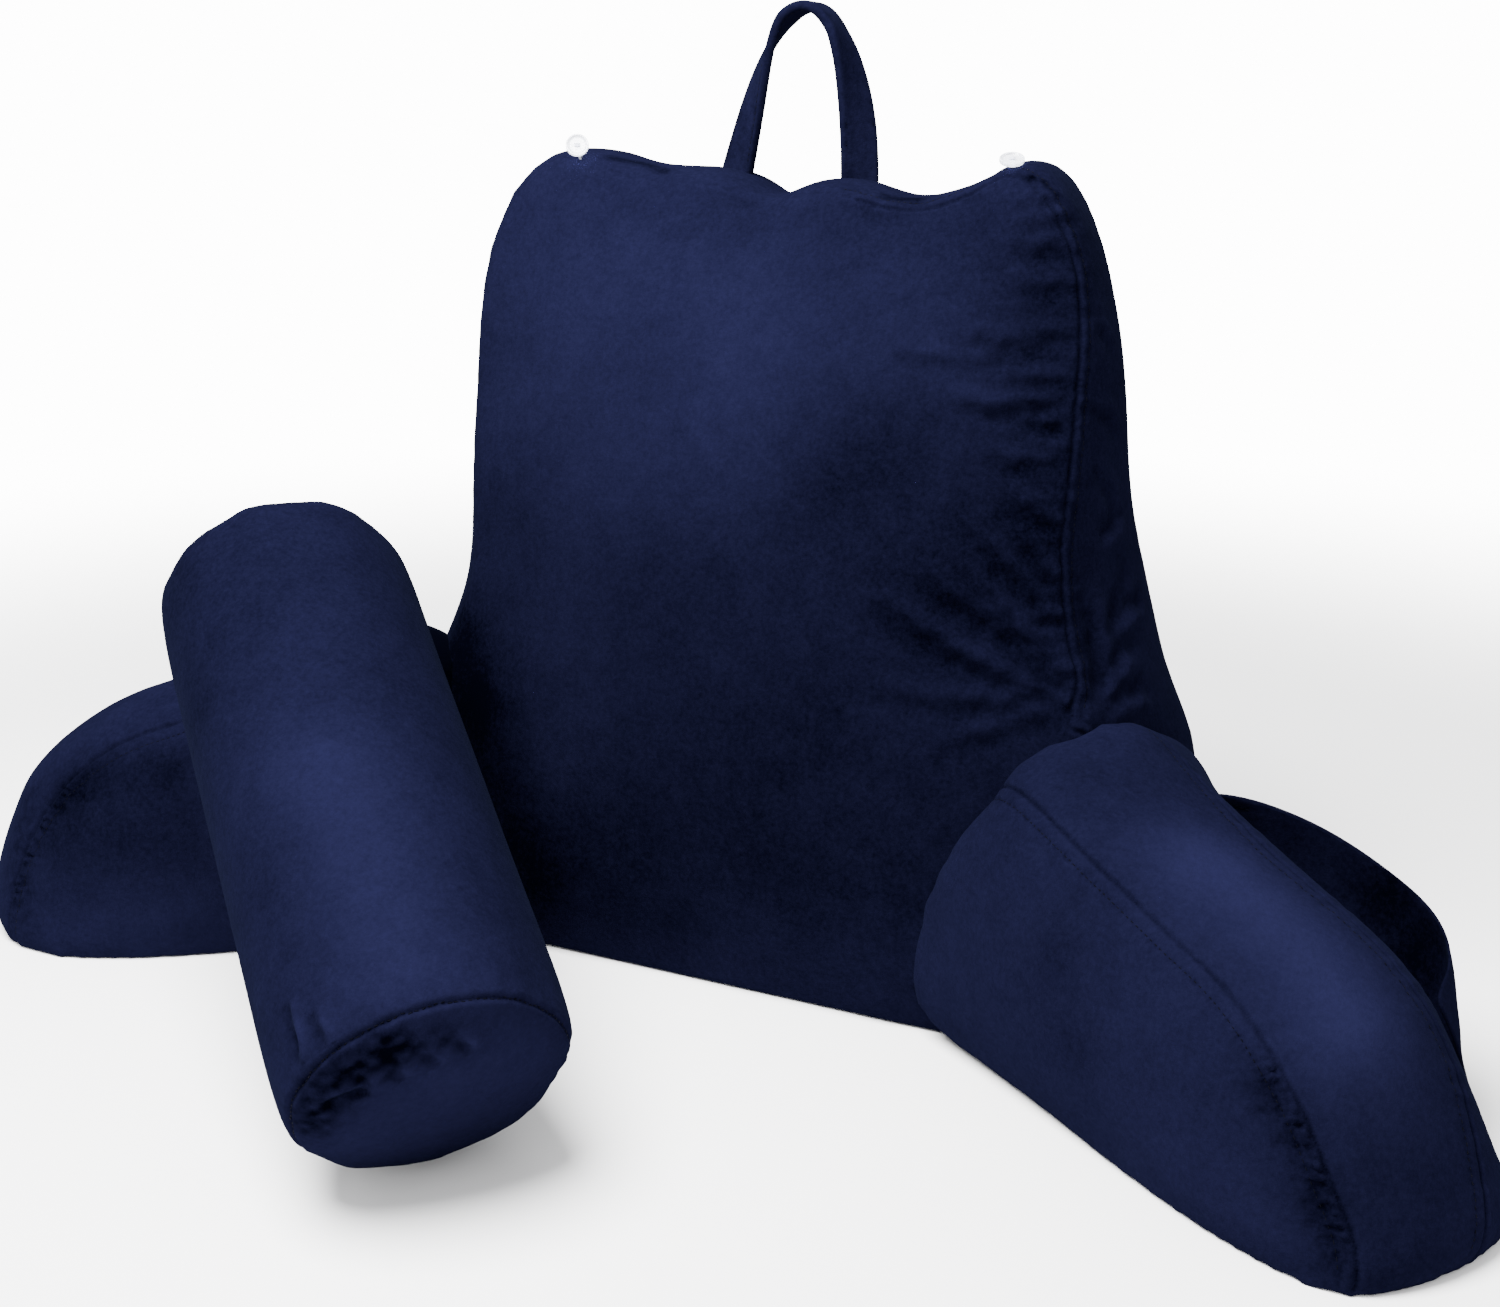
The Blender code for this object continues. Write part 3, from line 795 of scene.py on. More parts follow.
def button_material():
    """Return the clear moulded plastic of the buttons, with faint flow marks."""
    finish, tree, shader = shader_material("clear_plastic")
    place = node(tree, "ShaderNodeTexCoord", (-700, 0))
    flow = node(tree, "ShaderNodeTexNoise", (-500, 0), {"Scale": 260.0, "Detail": 2.0})
    bump = node(tree, "ShaderNodeBump", (-250, -200), {"Strength": 0.25, "Distance": 0.0006})
    rough = node(tree, "ShaderNodeMapRange", (-250, 0), {"To Min": 0.06, "To Max": 0.22})
    link_up(
        tree,
        (place, "Object", flow, "Vector"),
        (flow, "Fac", bump, "Height"),
        (flow, "Fac", rough, "Value"),
        (rough, "Result", shader, "Roughness"),
        (bump, "Normal", shader, "Normal"),
    )
    shader.inputs["Base Color"].default_value = opaque(colours().clear)
    shader.inputs["Transmission Weight"].default_value = 0.7
    shader.inputs["IOR"].default_value = 1.49
    shader.inputs["Coat Weight"].default_value = 0.4
    return finish


def material(name):
    """Return one of the finishes, made when it is first asked for."""
    made = bpy.data.materials.get(name)
    if made:
        return made
    if name == "sewing_thread":
        return thread_material(name, colours().thread)
    if name == "button_thread":
        return thread_material(name, colours().button_thread)
    if name == "clear_plastic":
        return button_material()
    group = bpy.data.node_groups.get("pile") or pile_group()
    if name == "navy_strap":
        return plush_material(name, group, 60.0, 0.20)
    return plush_material(name, group, 48.0, 0.12)


# Finishing


def finish_piece(made, finish, nodes=()):
    """Shade a piece smooth, give it its material and tie it to the frame."""
    made.data.shade_smooth()
    made.data.materials.clear()
    made.data.materials.append(material(finish))
    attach(made, "root")
    if nodes:
        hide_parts(*nodes)
    return made


def stitch_rows(name, lines, lift=0.0):
    """Return one mesh of all the stitches along some lines."""
    size = sizes()
    rings = ((-0.5, 0.0), (-0.42, 0.7), (-0.2, 1.0), (0.2, 1.0), (0.42, 0.7), (0.5, 0.0))
    sides = 6
    places, faces = [], []
    for line in lines:
        count = int(line.total / size.stitch_pitch)
        for number in range(count):
            reach = (number + 0.5) * size.stitch_pitch
            spot, ahead, normal = (
                np.array([np.interp(reach, line.lengths, column) for column in values.T])
                for values in (line.points, line.ahead, line.normals)
            )
            ahead /= np.linalg.norm(ahead)
            side = np.cross(normal, ahead)
            side /= np.linalg.norm(side)
            base = len(places)
            for share, width in rings:
                dip = size.stitch_radius * (lift - 1.6 * (2.0 * share) ** 4)
                for turn in range(sides):
                    angle = tau * turn / sides
                    across = size.stitch_radius * width * 0.98 + 1e-6
                    places.append(
                        spot + ahead * share * size.stitch_length + normal * dip
                        + across * (side * cos(angle) + normal * sin(angle))
                    )
            for ring in range(len(rings) - 1):
                for turn in range(sides):
                    a = base + ring * sides + turn
                    b = base + ring * sides + (turn + 1) % sides
                    faces.append((a, b, b + sides, a + sides))
            last = base + (len(rings) - 1) * sides
            faces.append(tuple(base + turn for turn in reversed(range(sides))))
            faces.append(tuple(last + turn for turn in range(sides)))
    mesh = bpy.data.meshes.new(name)
    mesh.from_pydata([tuple(p) for p in places], [], faces)
    made = bpy.data.objects.new(name, mesh)
    bpy.context.scene.collection.objects.link(made)
    select_only(made)
    bpy.ops.object.mode_set(mode="EDIT")
    bpy.ops.mesh.select_all(action="SELECT")
    bpy.ops.mesh.normals_make_consistent(inside=False)
    bpy.ops.object.mode_set(mode="OBJECT")
    return finish_piece(made, "sewing_thread")


def soft_body(node_name, piece_name, voxel, seams, host=None, settle=10):
    """Return the filled cover of one cushion, its panels swollen between the seams.

    seams is a function that reads the solid's points and returns the seams' points. Where a host
    carries the cushion, the cushion's root is sewn into it.
    """
    made = copy_node(node_name, piece_name)
    solid = Cover(made)
    seam_points = seams(solid)
    if host is not None:
        for index in np.flatnonzero(clearance(solid.places, host, 0.01) < ROOT_REACH):
            normal = host.find_nearest(Vector(solid.places[index]))[1]
            solid.places[index] -= np.array(normal) * ROOT_DEPTH
        solid.write()
    shape_with(made, "even", "REMESH", mode="VOXEL", voxel_size=voxel)
    cover = Cover(made)
    lines = [Line(points, cover.skin) for points in seam_points]
    held = cover.places[:, 2] < 0.003
    foot = cover.places[held, 2]
    edit_points(made, np.ones(len(held), bool), bpy.ops.mesh.vertices_smooth, factor=0.5, repeat=settle)
    cover.read()
    cover.places[held, 2] = foot
    cover.write()
    for line in lines:
        held[cover.near(line, 0.8 * voxel)[0]] = True
    if host is not None:
        held |= clearance(cover.places, host, 0.02) < 0.004
    inflate(cover, held, sizes().swell)
    shape_with(made, "smooth", "SUBSURF", levels=1, render_levels=1)
    cover.read()
    lines = [Line(points, cover.skin) for points in seam_points]
    refine_near(cover, lines, reach=0.008)
    return cover, lines


def refine_near(cover, lines, reach):
    """Split the faces of a cover that lie near some lines."""
    chosen = np.zeros(len(cover.places), bool)
    for line in lines:
        chosen[cover.near(line, reach)[0]] = True
    edit_points(cover.made, chosen, bpy.ops.mesh.subdivide, number_cuts=1)
    cover.read()


# Pieces


def table(columns, *rows):
    """Return the rows of a short table, each under the names of its columns."""
    return [dict(zip(columns.split(), row)) for row in rows]


# Share of the front seam after which its welt shows, past the right button, and how far above the
# arm its stitches end
WELT_START = 0.54
ARM_CLEAR = 0.012

# Stations up the backrest's two edges and across its top
BACK_RISE = np.linspace(0.02, 0.60, 20)
BACK_SPREAD = np.linspace(-0.24, 0.22, 16)

# Folds that show on the backrest: half width, depth, and their course in the photograph's pixels
BACK_FOLDS = table(
    "width depth pixels",
    (0.0061, 0.0018, ((1015, 215), (1050, 206), (1078, 212))),
    (0.0068, 0.0023, ((1012, 236), (1050, 226), (1084, 228))),
    (0.0068, 0.0027, ((1000, 262), (1045, 254), (1084, 258))),
    (0.0061, 0.0020, ((1020, 296), (1055, 290), (1082, 292))),
    (0.0081, 0.0038, ((950, 345), (1010, 350), (1082, 343))),
    (0.0068, 0.0020, ((885, 362), (960, 366), (1050, 362))),
    (0.0061, 0.0022, ((1000, 386), (1040, 388), (1080, 380))),
    (0.0074, 0.0043, ((940, 412), (1000, 417), (1080, 405))),
    (0.0061, 0.0034, ((1010, 432), (1050, 430), (1080, 421))),
    (0.0068, 0.0027, ((980, 462), (1030, 470), (1074, 464))),
    (0.0068, 0.0032, ((1000, 500), (1040, 522), (1066, 548))),
    (0.0061, 0.0031, ((1010, 540), (1040, 570), (1062, 602))),
    (0.0074, 0.0038, ((955, 530), (1010, 580), (1066, 646))),
    (0.0068, 0.0032, ((940, 560), (1000, 615), (1072, 684))),
    (0.0088, 0.0058, ((905, 580), (1000, 640), (1060, 690), (1092, 712))),
    (0.0081, 0.0047, ((880, 622), (960, 668), (1040, 702), (1090, 714))),
    (0.0081, 0.0022, ((850, 600), (930, 640), (985, 690))),
    (0.0081, 0.0027, ((860, 700), (960, 712), (1080, 716))),
    (0.0074, 0.0025, ((930, 762), (1010, 735), (1084, 718))),
    (0.0081, 0.0050, ((1078, 590), (1096, 640), (1096, 708))),
    (0.0081, 0.0038, ((1126, 560), (1116, 610), (1100, 650))),
    (0.0081, 0.0050, ((1138, 640), (1118, 655), (1098, 700))),
    (0.0074, 0.0043, ((1152, 690), (1130, 690), (1102, 712))),
    (0.0068, 0.0027, ((1092, 410), (1106, 420), (1118, 440))),
    (0.0061, 0.0025, ((1094, 330), (1104, 338), (1114, 352))),
    (0.0068, 0.0027, ((1094, 470), (1108, 496), (1118, 520))),
    (0.0070, 0.0055, ((1122, 508), (1112, 522), (1100, 540))),
    (0.0070, 0.0055, ((1142, 592), (1126, 608), (1112, 620))),
    (0.0074, 0.0020, ((722, 190), (750, 205), (785, 203))),
    (0.0081, 0.0025, ((838, 200), (880, 216), (925, 204))),
    (0.0068, 0.0016, ((925, 210), (960, 202), (1000, 186))),
)

# Puckers along the seams, 0 for a backrest's front or an arm's inner one and 1 for the other: on
# which side of it, 0 for both; how far apart, how high and how long they are; how much shade is painted in
# them; between which shares of the seam; and how they slant
GATHER_COLUMNS = "seam side pitch height length seed tone start end skew"
BACK_GATHERS = table(
    GATHER_COLUMNS,
    (0, 0, 0.034, 0.0004, 0.016, 2.0),
    (1, 0, 0.034, 0.0004, 0.016, 3.0),
    (0, 0, 0.024, 0.0012, 0.016, 5.0, 0.05, 0.58, 0.98),
    (0, -1, 0.023, 0.0012, 0.040, 7.0, 0.05, 0.60, 0.98, 0.2),
)
ARM_GATHERS = table(
    GATHER_COLUMNS,
    (0, 0, 0.030, 0.0010, 0.012, 1.0),
    (0, -1, 0.012, 0.0026, 0.014, 4.0, 0.12, 0.66, 1.0, 0.5),
    (0, -1, 0.021, 0.0018, 0.022, 9.0, 0.06, 0.60, 1.0, -0.6),
    (1, 0, 0.026, 0.0010, 0.012, 5.0),
)

# Where the top edge of the backrest dips, or rises below 0: the height from which it does and over
# which it comes in, and each dip's middle and half width along X
BACK_DIPS_FROM = 0.50
BACK_DIPS_RAMP = 0.08
BACK_DIPS = (
    {"middle": -0.010, "width": 0.024, "drop": 0.011},
    {"middle": 0.196, "width": 0.024, "drop": -0.004},
)

# Painted light and shade on the pile: radius of each patch, its tone (painted light above 0, painted shade
# below), its course in pixels, and how broken it is
PAINTED_LIGHT_COLUMNS = "radius tone pixels broken"
# Painted light on the backrest's upper left; painted shade to its right, and painted shadow low down by the
# roll and along its top edge
BACK_PAINTED_LIGHT = table(
    PAINTED_LIGHT_COLUMNS,
    (0.095, 0.12, ((560, 270), (640, 300), (720, 330))),
    (0.070, 0.07, ((560, 420), (620, 450), (690, 440))),
    (0.045, 0.05, ((740, 350), (900, 360), (960, 380))),
    (0.055, -0.15, ((840, 500), (890, 560), (930, 610))),
    (0.045, -0.10, ((900, 440), (960, 470), (1000, 540))),
    (0.036, -0.13, ((1040, 320), (1045, 450), (1040, 660))),
    (0.080, -0.05, ((660, 600), (800, 690))),
    (0.035, -0.09, ((980, 240), (1060, 270))),
    (0.090, -0.08, ((720, 700), (860, 750), (960, 740))),
    (0.070, -0.15, ((600, 850), (750, 860), (900, 920))),
    (0.030, -0.08, ((620, 910), (680, 925))),
    (0.050, -0.26, ((462, 640), (484, 745), (530, 880))),
    (0.030, -0.12, ((462, 650), (474, 700))),
    (0.025, -0.06, ((1075, 600), (1095, 640))),
    (0.006, -0.24, ((612, 158), (640, 163), (664, 171))),
    (0.006, -0.24, ((888, 197), (905, 199), (920, 199))),
    (0.004, -0.20, ((1024, 174), (1040, 181), (1057, 193)), 0.9),
)
# Painted highlight along the roll's lit middle, and painted shade in the creases at its end
ROLL_PAINTED_LIGHT = table(
    PAINTED_LIGHT_COLUMNS,
    (0.045, 0.26, ((325, 760), (358, 860), (405, 965))),
    (0.050, -0.03, ((230, 560), (330, 540))),
    (0.030, -0.06, ((172, 600), (195, 720))),
    (0.032, 0.08, ((225, 850), (262, 970))),
    (0.030, -0.04, ((410, 620), (440, 740))),
    (0.050, 0.22, ((340, 1130), (430, 1090), (500, 1060))),
    (0.016, -0.38, ((312, 1125), (335, 1088), (385, 1054)), 0.6),
    (0.012, -0.25, ((400, 1045), (440, 1040)), 0.8),
)
# Painted shadow on the left arm's panel; painted light along the right arm's lit top, and painted shade
# below it
ARM_PAINTED_LIGHT = {
    "arm_left": table(
        PAINTED_LIGHT_COLUMNS,
        (0.026, -0.26, ((72, 786), (115, 776), (168, 772))),
        (0.034, -0.18, ((60, 835), (110, 835), (170, 835))),
        (0.025, -0.05, ((100, 715), (160, 710))),
        (0.020, -0.14, ((28, 800), (18, 860), (24, 910)), 0.6),
        (0.060, -0.60, ((430, 650), (450, 655))),
    ),
    "arm_right": table(
        PAINTED_LIGHT_COLUMNS,
        (0.040, 0.44, ((1215, 865), (1290, 935), (1345, 1005))),
        (0.034, 0.12, ((1350, 1050), (1395, 1085))),
        (0.045, 0.05, ((1160, 1100), (1220, 1160))),
        (0.040, -0.07, ((1050, 760), (1110, 770))),
        (0.040, -0.08, ((1000, 830), (1090, 940))),
        (0.013, -0.17, ((1262, 1090), (1300, 1160), (1330, 1260)), 0.3),
        (0.020, -0.10, ((1055, 960), (1075, 1040)), 0.5),
        (0.035, -0.11, ((1360, 1205), (1400, 1225), (1405, 1265))),
    ),
}
# Painted shade deep inside the pocket
POCKET_PAINTED_SHADE = table(PAINTED_LIGHT_COLUMNS, (0.030, -0.22, ((1385, 900), (1418, 950))))

# How an arm's crown is drawn down at its root
ROOT_SAG = {
    "arm_left": {"length": 0.17, "out": 0.070, "width": 0.090, "drop": 0.027},
    "arm_right": {"length": 0.16, "out": 0.052, "width": 0.024, "drop": 0.014},
}

# How far from the backrest an arm's root is shaped, and how far its outer side runs on along
# the gusset: outwards, backwards and up; its inner side swells inwards
ROOT_SPREAD = 0.055
ROOT_RUN_ON = {
    "arm_left": (0.072, 0.034, -0.006),
    "arm_right": (0.080, 0.036, 0.017),
}
ROOT_CHEEK = 0.016

# How much of an arm is its root, and from how far out its crown rises and its outer side runs on
ROOT_LENGTH = 0.16
CROWN_FROM = 0.074
SIDE_FROM = 0.115
ROOT_RAMP = 0.050


def back_seams(cover):
    """Return the points of the backrest's front and rear seams, each from floor to floor."""
    x, y, z = cover.places.T
    seams = []
    for front in (True, False):
        facing = -y if front else y
        left = rim(cover.places, z, -0.8 * x + 0.6 * facing, BACK_RISE)
        top = rim(cover.places, x, 0.9 * z + 0.5 * facing, BACK_SPREAD)
        right = rim(cover.places, z, 0.8 * x + 0.6 * facing, BACK_RISE)
        seams.append(left[:-1] + top[1:-1] + right[-2::-1])
    return seams


def sag(cover, height, pitch, seed):
    """Let the filling lie a little uneven under a cover."""
    above = np.clip(cover.places[:, 2] / 0.04, 0.0, 1.0)
    cover.push(np.arange(len(above)), height * above * uneven(cover.places, pitch, seed))
    cover.write()


class PILLOW_OT_backrest(bpy.types.Operator):
    """Sew the back cushion"""

    bl_idname = "pillow.backrest"
    bl_label = "Backrest"

    def execute(self, context):
        size = sizes()
        cover, seams = soft_body("backrest", "backrest_cushion", size.back_voxel, back_seams)
        sag(cover, height=0.0016, pitch=0.16, seed=1.0)
        high = np.clip((cover.places[:, 2] - BACK_DIPS_FROM) / BACK_DIPS_RAMP, 0.0, 1.0)
        for row in BACK_DIPS:
            dip = np.exp(-(((cover.places[:, 0] - row["middle"]) / row["width"]) ** 2))
            cover.places[:, 2] -= row["drop"] * dip * high ** 2
        cover.write()
        folds = seen_lines(cover, BACK_FOLDS)
        refine_near(cover, folds, reach=0.013)
        for number, (line, row) in enumerate(zip(folds, BACK_FOLDS)):
            fold(cover, line, row["width"], row["depth"], seed=number)
        gather_seams(cover, seams, BACK_GATHERS)
        front = seams[0]
        welt = front.beside(cover.skin, size.welt_width)
        start = int(WELT_START * len(welt.points))
        welt = Line(welt.points[start::4], cover.skin)
        for seam in seams:
            sew_seam(cover, seam, size.seam_width, 0.35 * size.seam_depth, tone=0.04)
        front = Line(front.points[start::4], cover.skin)
        sew_seam(cover, front, size.seam_width, 0.75 * size.seam_depth, tone=0.06)
        sew_seam(cover, welt, 0.8 * size.seam_width, 0.5 * size.seam_depth, tone=0.07)
        arm = skin_of(frame["nodes"]["arm_right"])
        clear = [p for p in welt.points if arm.find_nearest(Vector(p))[3] > ARM_CLEAR]
        paint_pile_light_and_shade(cover, BACK_PAINTED_LIGHT, base=0.33, seed=1.0)
        finish_piece(cover.made, "navy_plush", ["backrest"])
        stitch_rows("backrest_stitches", [Line(clear[::4], cover.skin)])
        return {"FINISHED"}


class PILLOW_OT_arms(bpy.types.Operator):
    """Sew the two filled arms"""

    bl_idname = "pillow.arms"
    bl_label = "Arms"

    def execute(self, context):
        size = sizes()
        back = skin_of(bpy.data.objects["backrest_cushion"])
        for name in ("arm_left", "arm_right"):
            def seams(_cover, name=name):
                rows = [ARM_SEAMS[name, side] for side in ("inner", "outer")]
                return [[arm_place(name, *row) for row in seam] for seam in rows]

            cover, lines = soft_body(name, name + "_cushion", size.small_voxel, seams, back)
            settle_root(cover, name, back)
            sag(cover, height=0.0012, pitch=0.11, seed=3.0)
            side = 1.0 if name == "arm_right" else -1.0
            lines = [Line(line.points, cover.skin) for line in lines]
            gather_seams(cover, lines, ARM_GATHERS, mirror=side)
            rows = [line.beside(cover.skin, -side * size.row_inset) for line in lines]
            for line in lines:
                sew_seam(cover, line, size.seam_width, size.seam_depth, tone=0.17 + 0.07 * side)
            for line in rows:
                sew_seam(cover, line, 0.7 * size.seam_width, 0.5 * size.seam_depth, tone=0.12 + 0.05 * side)
            rows = [Line(row.points, cover.skin) for row in rows]
            rows = [clear_of(row, back, cover.skin) for row in rows]
            paint_pile_light_and_shade(cover, ARM_PAINTED_LIGHT[name], base=0.43, seed=2.0)
            finish_piece(cover.made, "navy_plush", [name])
            stitch_rows(name + "_stitches", rows)
        return {"FINISHED"}


def clear_of(line, host, skin):
    """Return the stretch of a line that stays clear of a host and of the floor."""
    kept = [p for p in line.points if p[2] > 0.004 and host.find_nearest(Vector(p))[3] > 0.004]
    return Line(kept[::4], skin)


def settle_root(cover, name, back):
    """Shape an arm's root: its crown sinks at the seam, its outer side runs on along the gusset."""
    foot = np.array(arm_place(name, 0.0, 0.0, 0.0))
    ahead = np.array(arm_place(name, 1.0, 0.0, 0.0)) - foot
    outward = np.array(arm_place(name, 0.0, 0.0, 1.0)) - foot
    along = (cover.places - foot) @ ahead
    out = (cover.places - foot) @ outward
    height = np.clip(cover.places[:, 2] / 0.18, 0.0, 1.0) ** 2
    root = np.zeros(len(along))
    near = np.flatnonzero(along < ROOT_LENGTH)
    apart = np.maximum(clearance(cover.places[near], back, 0.12), 0.0)
    root[near] = np.exp(-((apart / ROOT_SPREAD) ** 2))
    crown = root * height * np.clip((out - CROWN_FROM) / ROOT_RAMP, 0.0, 1.0)
    side = root * np.clip((out - SIDE_FROM) / ROOT_RAMP, 0.0, 1.0) ** 2
    cheek = root * np.exp(-((out / 0.05) ** 2) - ((cover.places[:, 2] - 0.16) / 0.06) ** 2)
    row = ROOT_SAG[name]
    near_root = np.clip(1.0 - (along + 0.02) / row["length"], 0.0, 1.0) ** 2
    across = np.exp(-(((out - row["out"]) / row["width"]) ** 2))
    cover.places[:, 2] -= row["drop"] * near_root * across * height
    outwards, backwards, up = ROOT_RUN_ON[name]
    cover.places += np.outer(outwards * side - ROOT_CHEEK * cheek, outward)
    cover.places -= np.outer(backwards * side, ahead)
    cover.places[:, 2] += up * crown
    cover.write()


# Folds that show on the neck roll beside its end, in the same columns
ROLL_FOLDS = table(
    "width depth pixels",
    (0.0050, 0.0035, ((284, 1005), (292, 1040), (298, 1068))),
    (0.0045, 0.0030, ((310, 1012), (316, 1034), (324, 1052))),
    (0.0050, 0.0041, ((352, 1066), (356, 1082), (366, 1098))),
    (0.0045, 0.0038, ((388, 1050), (392, 1066), (402, 1082))),
    (0.0045, 0.0032, ((420, 1040), (425, 1054), (436, 1068))),
    (0.0040, 0.0024, ((455, 1034), (460, 1046), (470, 1056))),
    (0.0050, 0.0041, ((322, 1112), (348, 1098), (372, 1094))),
)


def roll_seams(_cover):
    """Return the points of the circles where the roll's ends are sewn in."""
    axis = (ROLL_HIGH - ROLL_LOW).normalized()
    side = axis.orthogonal().normalized()
    other = axis.cross(side)
    rings = []
    for centre in (ROLL_LOW, ROLL_HIGH):
        ring = []
        for step in range(ROLL_SEAM_STEPS + 1):
            angle = tau * step / ROLL_SEAM_STEPS
            spoke = side * cos(angle) + other * sin(angle)
            ring.append(centre + ROLL_SEAM_SHARE * ROLL_RADIUS * spoke)
        rings.append(ring)
    return rings


class PILLOW_OT_neck_roll(bpy.types.Operator):
    """Sew the bolster"""

    bl_idname = "pillow.neck_roll"
    bl_label = "Neck roll"

    def execute(self, context):
        size = sizes()
        cover, rings = soft_body("neck_roll", "neck_roll_cushion", size.small_voxel, roll_seams, settle=16)
        folds = seen_lines(cover, ROLL_FOLDS)
        refine_near(cover, folds, reach=0.012)
        for number, (line, row) in enumerate(zip(folds, ROLL_FOLDS)):
            # Dark shade painted in the folds beside the roll's end
            fold(cover, line, row["width"], row["depth"], tone=0.24, seed=number)
        rings = [Line(ring.points, cover.skin) for ring in rings]
        for ring, share in zip(rings, (1.0, 0.4)):
            gather(cover, ring, side=0, pitch=0.030, height=0.0007 * share, length=0.012, seed=1.0)
            sew_seam(cover, ring, size.seam_width, size.seam_depth * share, tone=0.2)
        keep_clear(cover, skin_of(bpy.data.objects["arm_left_cushion"]), gap=0.0005)
        rows = [Line([p for p in ring.points if p[2] > 0.004][::4], cover.skin) for ring in rings]
        paint_pile_light_and_shade(cover, ROLL_PAINTED_LIGHT, base=0.34, seed=3.0)
        finish_piece(cover.made, "navy_plush", ["neck_roll"])
        stitch_rows("neck_roll_stitches", rows)
        return {"FINISHED"}


class PILLOW_OT_pocket(bpy.types.Operator):
    """Sew the open pocket on the right arm"""

    bl_idname = "pillow.pocket"
    bl_label = "Pocket"

    def execute(self, context):
        size = sizes()
        made = copy_node("pocket_right", "pocket_right_cloth")
        bpy.ops.object.mode_set(mode="EDIT")
        bpy.ops.mesh.select_all(action="DESELECT")
        bpy.ops.object.mode_set(mode="OBJECT")
        outward = arm_place("arm_right", 0, 0, 1) - arm_place("arm_right", 0, 0, 0)
        facing = [face.normal.dot(outward) * face.area for face in made.data.polygons]
        made.data.polygons[int(np.argmax(facing))].select = True
        bpy.ops.object.mode_set(mode="EDIT")
        bpy.ops.mesh.select_mode(type="FACE")
        bpy.ops.mesh.faces_select_linked_flat(sharpness=POCKET_BEND)
        bpy.ops.mesh.select_all(action="INVERT")
        bpy.ops.mesh.delete(type="FACE")
        bpy.ops.mesh.select_all(action="SELECT")
        bpy.ops.mesh.tris_convert_to_quads(face_threshold=pi, shape_threshold=pi)
        bpy.ops.object.mode_set(mode="OBJECT")
        shape_with(made, "smooth", "SUBSURF", levels=3, render_levels=3)
        shape_with(made, "wall", "SOLIDIFY", thickness=size.pocket_thickness, offset=-1.0)
        cover = Cover(made)
        foot = arm_place("arm_right", 0.0, 0.0, 0.0)
        ahead = np.array(arm_place("arm_right", 1.0, 0.0, 0.0) - foot)
        along = (cover.places - np.array(foot)) @ ahead
        mouth = np.array(rim(cover.places, along, cover.places[:, 2], POCKET_STATIONS))
        outward = np.array(outward)
        hem = Line(mouth + 0.003 * outward - np.array((0.0, 0.0, size.hem_width)), cover.skin)
        sew_seam(cover, hem, size.seam_width, 0.5 * size.seam_depth, tone=0.2)
        inside = cover.outward @ outward < 0.0
        # Painted shade on the inside of the pocket
        cover.painted_shade_and_light[inside] += size.pocket_painted_shade
        paint_pile_light_and_shade(cover, POCKET_PAINTED_SHADE, base=0.34, seed=4.0)
        finish_piece(made, "navy_plush", ["pocket_right"])
        stitch_rows("pocket_stitches", [Line(hem.points[::4], cover.skin)])
        return {"FINISHED"}


def strap_place(run, across):
    """Return a place on the strap, from its left foot to its right one, and across its width."""
    turn = 2.0 * run - 1.0
    side = 1.0 if turn > 0.0 else -1.0
    row = HANDLE_SIDES[side]
    arch = cos(0.5 * pi * turn)
    swing = sin(0.5 * pi * turn) - side * row["drawn_in"] * sin(pi * arch)
    twist = 0.5 * pi * min(1.0, (1.0 - abs(turn)) / row["turned_by"]) ** row["ease"]
    x = row["half"] * swing + HANDLE_LEAN * arch
    z = HANDLE_FOOT + (HANDLE_TOP - HANDLE_FOOT) * arch
    outward = Vector((side * cos(twist), sin(twist), 0.0))
    return Vector((x, HANDLE_DEPTH, z)) + outward * STRAP_WIDTH * across


class PILLOW_OT_handle(bpy.types.Operator):
    """Sew the strap handle"""

    bl_idname = "pillow.handle"
    bl_label = "Handle"

    def execute(self, context):
        bpy.ops.object.select_all(action="DESELECT")
        bpy.ops.mesh.primitive_grid_add(x_subdivisions=96, y_subdivisions=8, size=1.0)
        made = context.active_object
        made.name = "handle_strap"
        for vert in made.data.vertices:
            vert.co = strap_place(vert.co.x + 0.5, vert.co.y)
        shape_with(made, "wall", "SOLIDIFY", thickness=sizes().strap_thickness, offset=0.0)
        shape_with(made, "rounded", "SUBSURF", levels=1, render_levels=1)
        cover = Cover(made)
        rows = []
        for across in (-0.36, 0.36):
            rows.append([strap_place(run, across) for run in np.linspace(0.08, 0.92, 60)])
            sew_seam(cover, Line(rows[-1], cover.skin), width=0.0012, depth=0.0004, tone=0.16)
        paint_pile_light_and_shade(cover, (), base=0.36, seed=5.0)
        finish_piece(made, "navy_strap", ["handle"])
        stitch_rows("handle_stitches", [Line(row, cover.skin) for row in rows])
        return {"FINISHED"}


